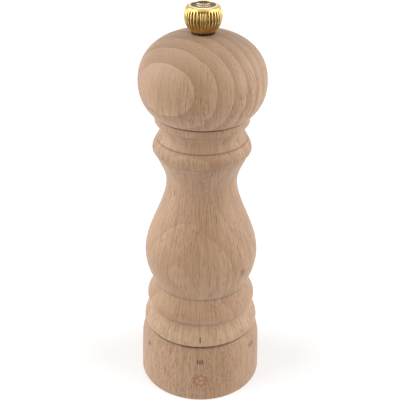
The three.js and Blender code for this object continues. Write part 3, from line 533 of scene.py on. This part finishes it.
def index_mark(s, millimetres):
    """The one bar on the body that the ring's settings are read against."""
    _, along, z, _ = unrolled(s, millimetres)
    front = s.math("LESS_THAN", s.add("ShaderNodeSeparateXYZ", millimetres).node.outputs[1], 0)
    level = within(s, s.math("SUBTRACT", z, BODY_MARK_LEVEL), BODY_MARK_HEIGHT / 2)
    bar = both(s, within(s, along, MARK_WIDTH / 2), level, front)
    return s.math("MULTIPLY", bar, BODY_MARK_STRENGTH), BURNT


def setting_marks(s, millimetres):
    """One to six bars round the ring, three of them at the front."""
    angle, _, z, radius = unrolled(s, millimetres)
    place = s.math("ROUND", s.math("DIVIDE", angle, MARK_SPACING))
    bars = s.math("ADD", place, SETTINGS / 2)
    bars = s.math("ADD", bars, s.math("MULTIPLY", s.math("LESS_THAN", bars, 0.5), SETTINGS))
    along = s.math("MULTIPLY", s.math("SUBTRACT", angle, s.math("MULTIPLY", place, MARK_SPACING)), radius)
    repeat = s.math("FRACT", s.math("ADD", s.math("DIVIDE", along, MARK_PITCH), s.math("MULTIPLY", bars, 0.5)))
    off = s.swing(repeat, MARK_PITCH)
    reach = s.math("SUBTRACT", s.math("MULTIPLY", bars, MARK_PITCH / 2), s.math("ABSOLUTE", along))
    mask = both(
        s, within(s, off, MARK_WIDTH / 2), s.math("GREATER_THAN", reach, 0),
        within(s, s.math("SUBTRACT", z, RING_MARK_LEVEL), MARK_HEIGHT / 2),
    )
    return s.math("MULTIPLY", mask, MARK_STRENGTH), BURNT


def toothed_wheel(s, millimetres):
    """A generic stamp on the front of the ring: a toothed wheel above two rows of dots."""
    _, along, z, _ = unrolled(s, millimetres)
    up = s.math("SUBTRACT", z, WHEEL_LEVEL)
    out = s.math("DIVIDE", distance(s, along, up), WHEEL_SIZE)

    def band(middle, half):
        return within(s, s.math("SUBTRACT", out, middle), half)

    def waves(count):
        return s.math("COSINE", s.math("MULTIPLY", s.math("ARCTAN2", up, along), count))

    teeth = both(s, band(*TEETH_BAND), s.fade(waves(WHEEL_TEETH), -0.15, 0.25))
    spokes = both(s, band(*SPOKE_BAND), s.fade(waves(WHEEL_SPOKES), 0.72, 0.9))
    column = s.math("FRACT", s.math("ADD", s.math("DIVIDE", along, DOT_PITCH), 0.5))
    rows = [
        within(s, distance(s, s.swing(column, DOT_PITCH), s.math("SUBTRACT", z, level)), DOT_RADIUS)
        for level in DOT_LEVELS
    ]
    dots = both(s, any_of(s, *rows), within(s, along, DOT_ROW_HALF, 0.02))
    worn = s.fade(s.noise(millimetres, scale=1.6, detail=3, roughness=0.7), 0.3, 0.55, 0.45, 0.9)
    return both(s, any_of(s, teeth, band(*RIM_BAND), spokes, within(s, out, HUB_RADIUS), dots), worn), STAMPED


def spots(*places):
    """Knots and dark flaws. Each place is (degrees round, height, half width, half height, share)."""

    def extra(s, millimetres):
        angle, _, z, radius = unrolled(s, millimetres)
        masks = []
        for degrees, level, half, tall, share in places:
            along = s.math("MULTIPLY", s.math("SUBTRACT", angle, math.radians(degrees)), radius)
            out = distance(s, s.math("DIVIDE", along, half), s.math("DIVIDE", s.math("SUBTRACT", z, level), tall))
            masks.append(s.fade(out, 0.5, 1.1, share, 0))
        return any_of(s, *masks), FLAW_AND_SHADE_BROWN

    return extra


def painted_groove_shade(*places):
    """Painted shade darkening the bottom of a groove, a seam or an edge. Each place is (height, half width, share)."""

    def extra(s, millimetres):
        z = s.add("ShaderNodeSeparateXYZ", millimetres).node.outputs[2]
        masks = [
            s.fade(s.math("ABSOLUTE", s.math("SUBTRACT", z, level)), half * 0.3, half * 1.3, share, 0)
            for level, half, share in places
        ]
        uneven = s.fade(s.noise(millimetres, scale=0.5, detail=4, roughness=0.7), 0.3, 0.65, 0.5, 1)
        return both(s, any_of(s, *masks), uneven), FLAW_AND_SHADE_BROWN

    return extra


# ---------------------------------------------------------------- metals and plastics
RIB_POLISHED = srgb(222, 190, 122)
RIB_WORN = srgb(196, 158, 86)
GROOVE_TARNISHED = srgb(104, 70, 24)
RIB_FOOT = 3.5  # mm over which the grooves fade in above the knob's foot
RIB_TOP = (1.9, 1.1)  # mm below the knob's top, where they fade out
RIM_EDGE = (5.1, 5.5)  # radii in mm between which the rim stays bright


def metal(name, colour, roughness, scratch=(400, 400, 4000), depth=0.01, variation=0.12):
    """Metal with fine working marks and uneven gloss."""
    s = Shader(name)
    lines = s.noise(s.coords(scale=scratch), detail=4, roughness=0.7)
    cloud = s.noise(s.coords(scale=(220, 220, 220)), detail=3)
    tint = s.mix(s.fade(cloud, 0.3, 0.75, 0, variation), (*colour, 1), (*(c * 0.45 for c in colour), 1))
    s.bump(lines, depth * MM)
    rough = s.fade(lines, 0.25, 0.8, roughness * 0.8, roughness * 1.25)
    return s.finish(Base_Color=tint, Metallic=1.0, Roughness=rough)


def ribbed_brass(name, ribs, low, high):
    """Brass whose grooves are left dark between polished ribs."""
    s = Shader(name)
    angle, _, height, radius = unrolled(s, s.coords())
    rib = s.math("ABSOLUTE", s.math("SINE", s.math("MULTIPLY", s.math("ADD", angle, math.pi / 2), ribs / 2)))
    worn = s.noise(s.coords(scale=(420, 420, 420)), detail=4, roughness=0.65)
    rib = s.math("ADD", rib, s.swing(worn, 0.25))
    top = s.fade(height, *(high - below for below in RIB_TOP), 1, 0)
    reach = both(s, s.fade(height, low, low + RIB_FOOT), top, s.fade(radius, *RIM_EDGE))
    groove = s.math("MULTIPLY", s.fade(rib, 0.08, 0.66, 0.85, 0), reach)
    polish = s.mix(s.fade(worn, 0.35, 0.7), (*RIB_POLISHED, 1), (*RIB_WORN, 1))
    s.bump(s.noise(s.coords(scale=(1500, 1500, 1500)), detail=3, roughness=0.7), 0.004 * MM)
    rough = s.fade(rib, 0.2, 0.8, 0.42, 0.24)
    return s.finish(Base_Color=s.mix(groove, polish, (*GROOVE_TARNISHED, 1)), Metallic=1.0, Roughness=rough)


def plastic(name, colour, roughness, shine=0.5):
    """Moulded plastic with a fine spark-eroded skin."""
    s = Shader(name)
    grainy = s.noise(s.coords(scale=(2600, 2600, 2600)))
    cloud = s.noise(s.coords(scale=(90, 90, 90)), detail=3)
    tint = s.mix(s.fade(cloud, 0.3, 0.75, 0, 0.35), (*colour, 1), (*(min(1, c * 1.7 + 0.004) for c in colour), 1))
    s.bump(grainy, 0.015 * MM)
    rough = s.fade(grainy, 0.3, 0.7, roughness * 0.85, min(1, roughness * 1.15))
    return s.finish(Base_Color=tint, Roughness=rough, Specular_IOR_Level=shine)


STEEL = metal("zinc_plated_steel", srgb(178, 180, 184), 0.32)
BURR_STEEL = metal("hardened_steel", srgb(112, 114, 119), 0.38, scratch=(900, 900, 900))
ALUMINIUM = metal("drawn_aluminium", srgb(196, 197, 200), 0.34, scratch=(2600, 2600, 60))
BRASS = metal("satin_brass", srgb(206, 172, 104), 0.27, scratch=(700, 700, 700), depth=0.004)
BLACK = plastic("black_acetal", srgb(38, 36, 34), 0.45)
# the knob's washer is coloured a dark brown as painted shade under the knob's foot
WASHER_PAINTED_SHADE = plastic("painted_shade_washer", srgb(52, 34, 20), 0.9, shine=0.12)
NYLON = plastic("natural_nylon", srgb(222, 217, 205), 0.5)
BADGE_BROWN = metal("badge_brown", srgb(112, 92, 70), 0.4, scratch=(500, 3000, 500))
BADGE_PALE = metal("badge_pale", srgb(206, 184, 148), 0.45, scratch=(900, 900, 900), depth=0.003)
RIM_BRASS = metal("rim_brass", srgb(250, 234, 200), 0.3, scratch=(900, 900, 900), depth=0.003, variation=0.05)

SLOT_FINISH = {
    "knob_brass": BRASS,
    "badge": BADGE_BROWN,
    "black_plastic": BLACK,
    "nylon": NYLON,
    "washer_brass": BRASS,
    "aluminium": ALUMINIUM,
    "burr_steel": BURR_STEEL,
    "steel": STEEL,
}

# ---------------------------------------------------------------- finish of each piece
# the height bands below are painted shade: on the seams, the grooves, the cove below the collar, and the ring's
# shoulder under the body
HEAD_WOOD = wood("beech_head", HEAD_GRAIN, [painted_groove_shade((134.9, 0.35, 0.75))])
BODY_WOOD = wood("beech_body", BODY_GRAIN, [
    painted_groove_shade((134.4, 0.3, 0.7), (130.5, 0.3, 0.35), (123.3, 0.4, 0.5), (116.4, 0.4, 0.5), (118.5, 3, 0.16),
                 (52.5, 0.45, 0.6), (40.4, 0.45, 0.6), (29.9, 0.5, 1.0)),
    spots((47, 65, 0.8, 1.1, 0.8), (47, 65, 2.0, 2.8, 0.3), (-48, 101, 0.35, 2.2, 0.8), (21, 92, 0.3, 2.6, 0.6)),
    index_mark,
])
RING_WOOD = wood("beech_ring", RING_GRAIN, [painted_groove_shade((29.3, 0.95, 1.0)), setting_marks, toothed_wheel])

for node, slot_name in SLOT_OF.items():
    if slot_name in SLOT_FINISH:
        data = node_object(node).data
        data.materials.clear()
        data.materials.append(SLOT_FINISH[slot_name])


def softened(node):
    """The CAD piece itself, with its sharp edges broken and its round faces shaded round."""
    piece = node_object(node)
    piece.data.shade_smooth()
    piece.data.set_sharp_from_angle(angle=CAD_SHARP_ANGLE)
    bevel = piece.modifiers.new("broken_edges", "BEVEL")
    bevel.width = CAD_BEVEL
    bevel.segments = 2
    bevel.limit_method = "ANGLE"
    bevel.angle_limit = CAD_BEVEL_ANGLE
    bevel.use_clamp_overlap = True
    bevel.harden_normals = True


# ---------------------------------------------------------------- shaft
SQUARE_SPAN = (9.12, 162.9)  # mm above the table, between the round pilot and the thread
SHAFT_CORNER = 1.34  # radius of the bar's corners, in half widths of the bar
SHAFT_BEVEL = 0.2 * MM
SHAFT_SIDES = 96
PILOT_RADIUS = 2.5 * MM
PILOT_BEVEL = 0.4 * MM
CLIP_GROOVE = 3.54 * MM  # radius of the bar under each clip
CLIP_PLAY = 0.3 * MM
THREAD_CREST = 2.85 * MM
THREAD_PITCH = 1.0 * MM
THREAD_DEPTH = 0.55 * THREAD_PITCH
THREAD_END = 0.3 * MM  # length of the point above the thread
THREAD_ROWS = 10  # rows of points to each turn of the thread


def threaded_shaft():
    """A square bar with bevelled corners, turned down and threaded where it holds the knob."""
    low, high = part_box("shaft")
    half = high.x
    square_bottom, square_top = (level * MM for level in SQUARE_SPAN)
    thread_top = high.z - THREAD_END
    columns = SHAFT_SIDES

    def square(angle):
        flat = half / max(abs(math.cos(angle)), abs(math.sin(angle)))
        return min(flat, half * SHAFT_CORNER)

    rows = []

    def ring(height, radius_at):
        rows.append([(radius_at(a) * math.cos(a), radius_at(a) * math.sin(a), height)
                     for a in (2 * math.pi * c / columns for c in range(columns))])

    ring(low.z, lambda a: PILOT_RADIUS - PILOT_BEVEL)
    ring(low.z + PILOT_BEVEL, lambda a: PILOT_RADIUS)
    ring(square_bottom, lambda a: PILOT_RADIUS)
    ring(square_bottom, lambda a: square(a) - SHAFT_BEVEL)
    ring(square_bottom + SHAFT_BEVEL, square)
    for clip in ("shaft_clip_lower", "shaft_clip_upper"):
        bottom, top = (corner.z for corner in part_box(clip))
        groove = (bottom - CLIP_PLAY, top + CLIP_PLAY)
        for height, deep in ((groove[0], 0), (groove[0], 1), (groove[1], 1), (groove[1], 0)):
            ring(height, lambda a, deep=deep: min(square(a), CLIP_GROOVE) if deep else square(a))
    ring(square_top - SHAFT_BEVEL, square)
    ring(square_top, lambda a: square(a) - SHAFT_BEVEL)
    steps = math.ceil((thread_top - square_top) / (THREAD_PITCH / THREAD_ROWS))
    for i in range(steps + 1):
        height = square_top + (thread_top - square_top) * i / steps
        runout = smooth_share(i / 12) * smooth_share((steps - i) / 5)

        def thread(a, height=height, runout=runout):
            turn = (height / THREAD_PITCH - a / (2 * math.pi)) % 1
            return THREAD_CREST - THREAD_DEPTH * (0.4 * (1 - runout) + runout * abs(2 * turn - 1))

        ring(height, thread)
    ring(high.z, lambda a: THREAD_CREST - 0.75 * MM)
    verts = [p for row in rows for p in row]
    faces = [
        (columns * r + c, columns * r + (c + 1) % columns, columns * (r + 1) + (c + 1) % columns, columns * (r + 1) + c)
        for r in range(len(rows) - 1) for c in range(columns)
    ]
    faces += [tuple(reversed(range(columns))), tuple(range(columns * (len(rows) - 1), columns * len(rows)))]
    stands_for(mesh_piece("shaft_threaded", verts, faces, ALUMINIUM, sharp=math.radians(30)), "shaft")


# ---------------------------------------------------------------- burrs
GRINDING_TEETH = 24
FEEDING_TEETH = 8
TOOTH_DEPTH = 0.7 * MM
TOOTH_CUT = TOOTH_DEPTH * 0.97  # a little less, so that no tooth reaches past its CAD node
TOOTH_SLANT = 0.2 / MM  # teeth passed for each metre of height
TOOTH_COLUMNS = 10  # columns of points to each grinding tooth
BURR_ROW = 0.45 * MM
SQUARE_HOLE = 6.6 * MM  # across the flats of the hole for the shaft
HOLE_RADIUS, COLLAR_RADIUS = 4.2, 6.2  # mm, of the inner burr's plain ends
RELIEF_GAP = 0.1 * MM  # how far past a plain face its points are still taken for plain
OUTER_SKIN = 0.9 * MM  # of the outer burr, with no teeth in it


def filled_in(corners, step):
    """The closed outline through these corners, with points no further apart than step."""
    made = []
    for a, b in zip(corners, corners[1:] + corners[:1]):
        pieces = max(1, math.ceil((b - a).length / step))
        made += [a.lerp(b, i / pieces) for i in range(pieces)]
    return made


def saw(turns, edge=0.8):
    """A tooth that rises slowly and falls fast."""
    share = turns % 1
    return share / edge if share < edge else (1 - share) / (1 - edge)


def inner_burr():
    """A toothed cone on the shaft: fine slanted grinding teeth below, coarse feeding ridges above."""
    low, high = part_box("inner_burr")
    tip = high.x - TOOTH_DEPTH
    tall = (high.z - low.z) / MM
    profile = (
        (HOLE_RADIUS, 0), (COLLAR_RADIUS, 0), (tip / MM - 0.9, 0.9), (tip / MM, 2.2), (tip / MM - 1.3, 5.2),
        (6.5, tall - 0.9), (COLLAR_RADIUS, tall), (HOLE_RADIUS, tall),
    )
    corners = [Vector((radius * MM, low.z + level * MM)) for radius, level in profile]
    hole = SQUARE_HOLE / 2

    def relief(angle, radius, height):
        if radius < HOLE_RADIUS * MM + RELIEF_GAP:
            return hole / max(abs(math.cos(angle)), abs(math.sin(angle)))
        if radius < COLLAR_RADIUS * MM + 1.5 * RELIEF_GAP:
            return radius
        level = height - low.z
        turns = angle / (2 * math.pi)
        fine = saw(turns * GRINDING_TEETH + level * TOOTH_SLANT)
        coarse = saw(turns * FEEDING_TEETH + level * TOOTH_SLANT * 0.7, 0.6)
        blend = smooth_share((level - 4.4 * MM) / (1.2 * MM))
        ends = smooth_share(level / (0.8 * MM)) * smooth_share((high.z - height) / (1.2 * MM))
        return radius + TOOTH_CUT * ends * (fine * (1 - blend) + coarse * blend)

    columns = GRINDING_TEETH * TOOTH_COLUMNS
    piece = revolve("inner_burr_cut", filled_in(corners, BURR_ROW), BURR_STEEL, columns, relief=relief)
    stands_for(piece, "inner_burr")


def outer_burr():
    """The fixed ring of slanted teeth round the inner burr."""
    low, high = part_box("outer_burr")
    wall = high.x
    corners = [Vector(c) for c in (
        (12.7 * MM, low.z), (wall, low.z), (wall, high.z), (11.3 * MM, high.z), (11.3 * MM, low.z + 4.6 * MM))]

    def relief(angle, radius, height):
        if radius > wall - OUTER_SKIN:
            return radius
        level = height - low.z
        turns = angle / (2 * math.pi)
        fade = smooth_share((wall - OUTER_SKIN - radius) / (0.4 * MM))
        return radius + TOOTH_CUT * fade * saw(turns * GRINDING_TEETH - level * TOOTH_SLANT)

    columns = GRINDING_TEETH * TOOTH_COLUMNS
    piece = revolve("outer_burr_cut", filled_in(corners, BURR_ROW), BURR_STEEL, columns, relief=relief)
    stands_for(piece, "outer_burr")


# ---------------------------------------------------------------- springs
SPRING_TURNS = 7
CLOSED_TURNS = 1.0  # turns wound close at each end
WIRE_SIDES = 12
TURN_STEPS = 40
EVEN_RISE = 0.75  # share of the rise that is even from turn to turn; the rest eases in and out
SPRINGS = (("burr_spring", 0.9 * MM, "burr"), ("detent_spring", 0.3 * MM, "detent"))  # node, wire, body below


def coil(node, wire):
    """A coil spring in the space of its CAD node, with close-wound ends."""
    low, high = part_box(node)
    middle, radius = (low + high) / 2, (high.x - low.x - wire) / 2
    bottom, top = low.z + wire / 2, high.z - wire / 2
    turns, dead, sides = SPRING_TURNS, CLOSED_TURNS, WIRE_SIDES
    rise = top - bottom - 2 * dead * wire
    steps = turns * TURN_STEPS
    verts, faces = [], []
    for i in range(steps + 1):
        turned_by = turns * i / steps
        height = bottom + wire * min(turned_by, dead) + wire * max(0, turned_by - turns + dead)
        along = (turned_by - dead) / (turns - 2 * dead)
        height += rise * smooth_share(along) * (1 - EVEN_RISE)
        height += rise * min(1, max(0, along)) * EVEN_RISE
        angle = 2 * math.pi * turned_by
        outward = Vector((math.cos(angle), math.sin(angle), 0))
        for side in range(sides):
            a = 2 * math.pi * side / sides
            verts.append(Vector((middle.x, middle.y, height)) + outward * (radius + wire / 2 * math.cos(a))
                         + Vector((0, 0, wire / 2 * math.sin(a))))
    for i in range(steps):
        for side in range(sides):
            a, b = i * sides + side, i * sides + (side + 1) % sides
            faces.append((a, b, b + sides, a + sides))
    faces += [tuple(reversed(range(sides))), tuple(range(steps * sides, (steps + 1) * sides))]
    piece = mesh_piece(node + "_wound", verts, faces, STEEL)
    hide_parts(node)
    return piece


def springs():
    """Each spring is wound as a coil in the place of its CAD node."""
    for node, wire, below in SPRINGS:
        squeezed = coil(node, wire)
        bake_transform(squeezed)


# ---------------------------------------------------------------- knob
KNOB_RIBS = 32
RIB_DEPTH = 0.5 * MM
RIB_COLUMNS = 12  # columns of points to each rib
BALL_STEPS = 44
SHOULDER_DROP = 0.9 * MM  # from the knob's top to where its ball ends
KNOB_RIM = 5.5 * MM
KNOB_BORE = 2.95 * MM
WASHER_BORE = 3.15 * MM
BADGE_POCKET = 5.0 * MM
BADGE_FACE = 0.22 * MM  # how far the badge's ground lies below its raised lines
BADGE_BEVEL = 0.1 * MM
BADGE_RIM_BEVEL = 0.08 * MM
BADGE_SIDES = 96
SPRIG_WIDTH = 0.34 * MM
SPRIG_ROOT = 0.02 * MM  # how deep the sprig stands in the ground
STEM_REACH = 4.0 * MM
LEAF_ROWS = 9
LEAF_LENGTH = 2.5  # mm sideways
LEAF_RISE = 0.62  # mm up the stem for each mm sideways
LEAF_LEVELS = (-2.4, 0.5)  # mm along the stem, where the pairs of leaves start


def arc_points(centre, radius, first, last, count):
    """Points on a circle in the (radius, height) plane, from one angle above the level to another."""
    return [
        centre + Vector((math.cos(a), math.sin(a))) * radius
        for a in (math.radians(first + (last - first) * i / count) for i in range(count + 1))
    ]


def fluted_knob():
    """A ball of narrow upright ribs with a turned foot and a polished rim round the badge."""
    low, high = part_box("knob")
    radius, foot = high.x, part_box("knob_washer")[1].x + 0.3 * MM
    middle = Vector((0, low.z + math.sqrt(radius**2 - foot**2)))
    shoulder = high.z - SHOULDER_DROP
    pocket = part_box("knob_badge")[0].z - 0.1 * MM
    first = math.degrees(math.asin((low.z + 0.25 * MM - middle.y) / radius))
    last = math.degrees(math.asin((shoulder - middle.y) / radius))
    ball = arc_points(middle, radius, first, last, BALL_STEPS)
    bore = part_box("shaft")[1].z + 0.4 * MM
    rim = [
        ball[-1] + Vector((-0.35, 0.45)) * MM, Vector((KNOB_RIM + 0.35 * MM, high.z - 0.16 * MM)),
        Vector((KNOB_RIM + 0.08 * MM, high.z - 0.02 * MM)), Vector((KNOB_RIM - 0.1 * MM, high.z)),
        Vector((BADGE_POCKET + 0.1 * MM, high.z)), Vector((BADGE_POCKET, high.z - 0.1 * MM)),
    ]
    loop = [
        Vector((0, bore)), Vector((KNOB_BORE, bore)), Vector((KNOB_BORE, low.z + 0.2 * MM)),
        Vector((WASHER_BORE, low.z)), Vector((ball[0].x - 0.2 * MM, low.z)), *ball, *rim,
        Vector((BADGE_POCKET, pocket)), Vector((0, pocket)),
    ]

    def ribs(angle, out, height):
        if out < foot - 0.5 * MM or (out < KNOB_RIM and height > middle.y):
            return out
        fade = smooth_share((height - low.z - 0.5 * MM) / (1.8 * MM))
        fade *= smooth_share((high.z - 0.95 * MM - height) / (1.1 * MM))
        hump = (math.sin(angle * KNOB_RIBS / 2) ** 2 + 0.006) ** 0.5
        return out - RIB_DEPTH * fade * (1 - min(1, hump) ** 0.8)

    brass = ribbed_brass("knob_brass", KNOB_RIBS, low.z / MM + 0.3, high.z / MM)
    piece = revolve("knob_fluted", loop, brass, KNOB_RIBS * RIB_COLUMNS, closed=False, relief=ribs)
    piece.data.materials.append(RIM_BRASS)
    for face in piece.data.polygons:
        if math.hypot(*face.center.xy) < KNOB_RIM + 0.3 * MM and face.center.z > high.z - 0.3 * MM:
            face.material_index = 1
    stands_for(piece, "knob")


def badge():
    """A dark disc with a raised sprig: a stem with two pairs of leaves."""
    low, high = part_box("knob_badge")
    ground = high.z - BADGE_FACE
    rim = high.x
    loop = [
        Vector((0, low.z)), Vector((rim - BADGE_BEVEL, low.z)), Vector((rim, low.z + BADGE_BEVEL)),
        Vector((rim, high.z - BADGE_RIM_BEVEL)), Vector((rim - BADGE_RIM_BEVEL, high.z)),
        Vector((rim - 0.3 * MM, high.z)), Vector((rim - 0.38 * MM, ground)), Vector((0, ground)),
    ]
    stands_for(revolve("badge_disc", loop, BADGE_BROWN, BADGE_SIDES, closed=False), "knob_badge")
    verts, faces = [], []

    def leaf(start, end, width):
        """A raised blade that swells in its middle."""
        along = end - start
        side = Vector((-along.y, along.x)).normalized()
        base, rows = len(verts), LEAF_ROWS
        for i in range(rows + 1):
            t = i / rows
            half = width * (0.25 + 0.75 * math.sin(math.pi * t) ** 0.7) / 2
            at = start + along * t
            ridge = ground + (high.z - ground) * (0.35 + 0.65 * math.sin(math.pi * t) ** 0.5)
            for across, height in ((-half, ground - SPRIG_ROOT), (0, ridge), (half, ground - SPRIG_ROOT)):
                point = at + side * across
                verts.append((point.x, point.y, height))
        for i in range(rows):
            a = base + 3 * i
            faces.extend([(a, a + 1, a + 4, a + 3), (a + 1, a + 2, a + 5, a + 4), (a, a + 3, a + 5, a + 2)])
        faces.extend([(base, base + 2, base + 1), (base + 3 * rows, base + 3 * rows + 1, base + 3 * rows + 2)])

    leaf(Vector((0, -STEM_REACH)), Vector((0, STEM_REACH)), SPRIG_WIDTH * 1.3)
    for level in LEAF_LEVELS:
        for side in (-1, 1):
            start = Vector((side * 0.25, level))
            end = start + Vector((side * LEAF_LENGTH, LEAF_LENGTH * LEAF_RISE))
            leaf(start * MM, end * MM, SPRIG_WIDTH * 0.8)
    sprig = mesh_piece("badge_sprig", verts, faces, BADGE_PALE)
    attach(sprig, BODY_OF["knob_badge"])


# ---------------------------------------------------------------- the mill
turned("body", BODY_WOOD)
turned("head", HEAD_WOOD)
turned("adjusting_ring", RING_WOOD)
# the washer gets the dark brown of painted shade in place of its brass
washer("knob_washer", WASHER_BORE, WASHER_PAINTED_SHADE, seated=0.24 * MM)
fluted_knob()
badge()
threaded_shaft()
inner_burr()
outer_burr()
springs()
REBUILT = (
    "body", "head", "adjusting_ring", "knob_washer", "knob", "knob_badge", "shaft", "inner_burr", "outer_burr",
    "burr_spring", "detent_spring",
)
for node in SLOT_OF:
    if node not in REBUILT:
        softened(node)


# ---------------------------------------------------------------- set, light and camera
TENT_LIGHT = 0.08
SWEEP_LIGHT = 0.9  # the white sweep behind the mill, as shiny pieces mirror it
SWEEP_EDGE = (-0.35, 0.6)  # how far back a reflection points where the sweep starts and where it is full
# (azimuth, elevation, strength, softness) with the angles in degrees
WALL_LIGHTS = {
    "left_wall": (-84, 21, 3.45, 70),
    "right_wall": (84, 21, 3.15, 70),
    "ceiling": (0, 82, 1.5, 90),
}
# lengths in heights of the mill
FLOOR_REACH = 40
FLAG_NEAR, FLAG_FAR, FLAG_HALF = 0.75, 8, 3
FLAG_LEVEL = 0.004
LAMP_BACK = 4
CAMERA_BACK = 1.8  # in front of the mill's axis
CAMERA_UP = 1.525  # above the table

FLOOR_GREY = 0.6
FLOOR_GLOW = 0.38
FLAG_GREY = 0.05
CAMERA_LENS = 75.33  # mm
CAMERA_SENSOR = 36  # mm
CAMERA_PITCH = math.radians(29.427)
CAMERA_YAW = math.radians(-0.118)
CAMERA_ROLL = math.radians(0.474)


def flat_card(name, low, high, level, material):
    """A rectangle between two (x, y) corners, with its face up."""
    mesh = bpy.data.meshes.new(name)
    corners = [(low[0], low[1], level), (high[0], low[1], level), (high[0], high[1], level), (low[0], high[1], level)]
    mesh.from_pydata(corners, [], [(0, 1, 2, 3)])
    mesh.materials.append(material)
    card = bpy.data.objects.new(name, mesh)
    bpy.context.scene.collection.objects.link(card)
    return card


def studio_floor():
    """A pale table that glows a little, so that it meets the white background without an edge."""
    size = FLOOR_REACH * HEIGHT
    pale = Shader("pale_floor").finish(
        Base_Color=(FLOOR_GREY, FLOOR_GREY, FLOOR_GREY, 1), Roughness=0.9, Specular_IOR_Level=0.1,
        Emission_Color=(1, 1, 1, 1), Emission_Strength=FLOOR_GLOW,
    )
    floor = flat_card("studio_floor", (-size, -size), (size, size), 0, pale)


def sun(name, azimuth, elevation, strength, softness):
    """A distant soft light. azimuth 0 is in front of the mill, 90 to its right."""
    lamp = bpy.data.lights.new(name, "SUN")
    lamp.energy = strength
    lamp.angle = math.radians(softness)
    light = bpy.data.objects.new(name, lamp)
    across, up = math.radians(azimuth), math.radians(elevation)
    towards = Vector((math.sin(across) * math.cos(up), -math.cos(across) * math.cos(up), math.sin(up)))
    light.rotation_euler = towards.to_track_quat("Z", "Y").to_euler()
    light.location = towards * HEIGHT * LAMP_BACK
    bpy.context.scene.collection.objects.link(light)


def dark_card():
    """A flag in front of the camera's view of the table, which only shiny surfaces see."""
    near, far, half = (d * HEIGHT for d in (FLAG_NEAR, FLAG_FAR, FLAG_HALF))
    dark = Shader("flag_black").finish(Base_Color=(FLAG_GREY, FLAG_GREY, FLAG_GREY, 1), Roughness=0.9)
    card = flat_card("flag", (-half, -far), (half, -near), FLAG_LEVEL * HEIGHT, dark)
    card.visible_camera = card.visible_diffuse = card.visible_shadow = card.visible_transmission = False


def map_range(nodes, links, value, low, high, from_low, from_high):
    """The world's own fade, since Shader builds materials only."""
    node = nodes.new("ShaderNodeMapRange")
    names = ("Value", "From Min", "From Max", "To Min", "To Max")
    for name, setting in zip(names, (value, low, high, from_low, from_high)):
        if isinstance(setting, bpy.types.NodeSocket):
            links.new(setting, node.inputs[name])
        else:
            node.inputs[name].default_value = setting
    return node.outputs["Result"]


def studio_light():
    """A white tent: white to the camera, bright at the back to shiny surfaces and dim to all else, plus soft lamps."""
    world = bpy.data.worlds.new("white_tent")
    bpy.context.scene.world = world
    world.use_nodes = True
    nodes, links = world.node_tree.nodes, world.node_tree.links
    nodes["Background"].inputs["Color"].default_value = (1, 1, 1, 1)
    seen = nodes.new("ShaderNodeLightPath")
    towards = nodes.new("ShaderNodeSeparateXYZ")
    links.new(nodes.new("ShaderNodeTexCoord").outputs["Generated"], towards.inputs[0])
    sweep = map_range(nodes, links, towards.outputs["Y"], *SWEEP_EDGE, TENT_LIGHT, SWEEP_LIGHT)
    mirrored = map_range(nodes, links, seen.outputs["Is Glossy Ray"], 0, 1, TENT_LIGHT, sweep)
    shown = map_range(nodes, links, seen.outputs["Is Camera Ray"], 0, 1, mirrored, 1.0)
    links.new(shown, nodes["Background"].inputs["Strength"])
    for name, settings in WALL_LIGHTS.items():
        sun(name, *settings)


def photo_camera():
    """The camera that the photo was fitted with."""
    data = bpy.data.cameras.new("photo_camera")
    data.sensor_width = CAMERA_SENSOR
    data.lens = CAMERA_LENS
    camera = bpy.data.objects.new("photo_camera", data)
    ahead = Vector((math.sin(CAMERA_YAW) * math.cos(CAMERA_PITCH), math.cos(CAMERA_YAW) * math.cos(CAMERA_PITCH),
                    -math.sin(CAMERA_PITCH)))
    right = Vector((math.cos(CAMERA_YAW), -math.sin(CAMERA_YAW), 0))
    up = right.cross(ahead)
    rolled_right = right * math.cos(CAMERA_ROLL) + up * math.sin(CAMERA_ROLL)
    rolled_up = up * math.cos(CAMERA_ROLL) - right * math.sin(CAMERA_ROLL)
    turned_to = Matrix((rolled_right, rolled_up, -ahead)).transposed().to_4x4()
    camera.matrix_world = Matrix.Translation((0, -CAMERA_BACK * HEIGHT, CAMERA_UP * HEIGHT)) @ turned_to
    bpy.context.scene.collection.objects.link(camera)
    bpy.context.scene.camera = camera


studio_floor()
dark_card()
studio_light()
photo_camera()
bpy.context.scene.view_settings.view_transform = "Standard"
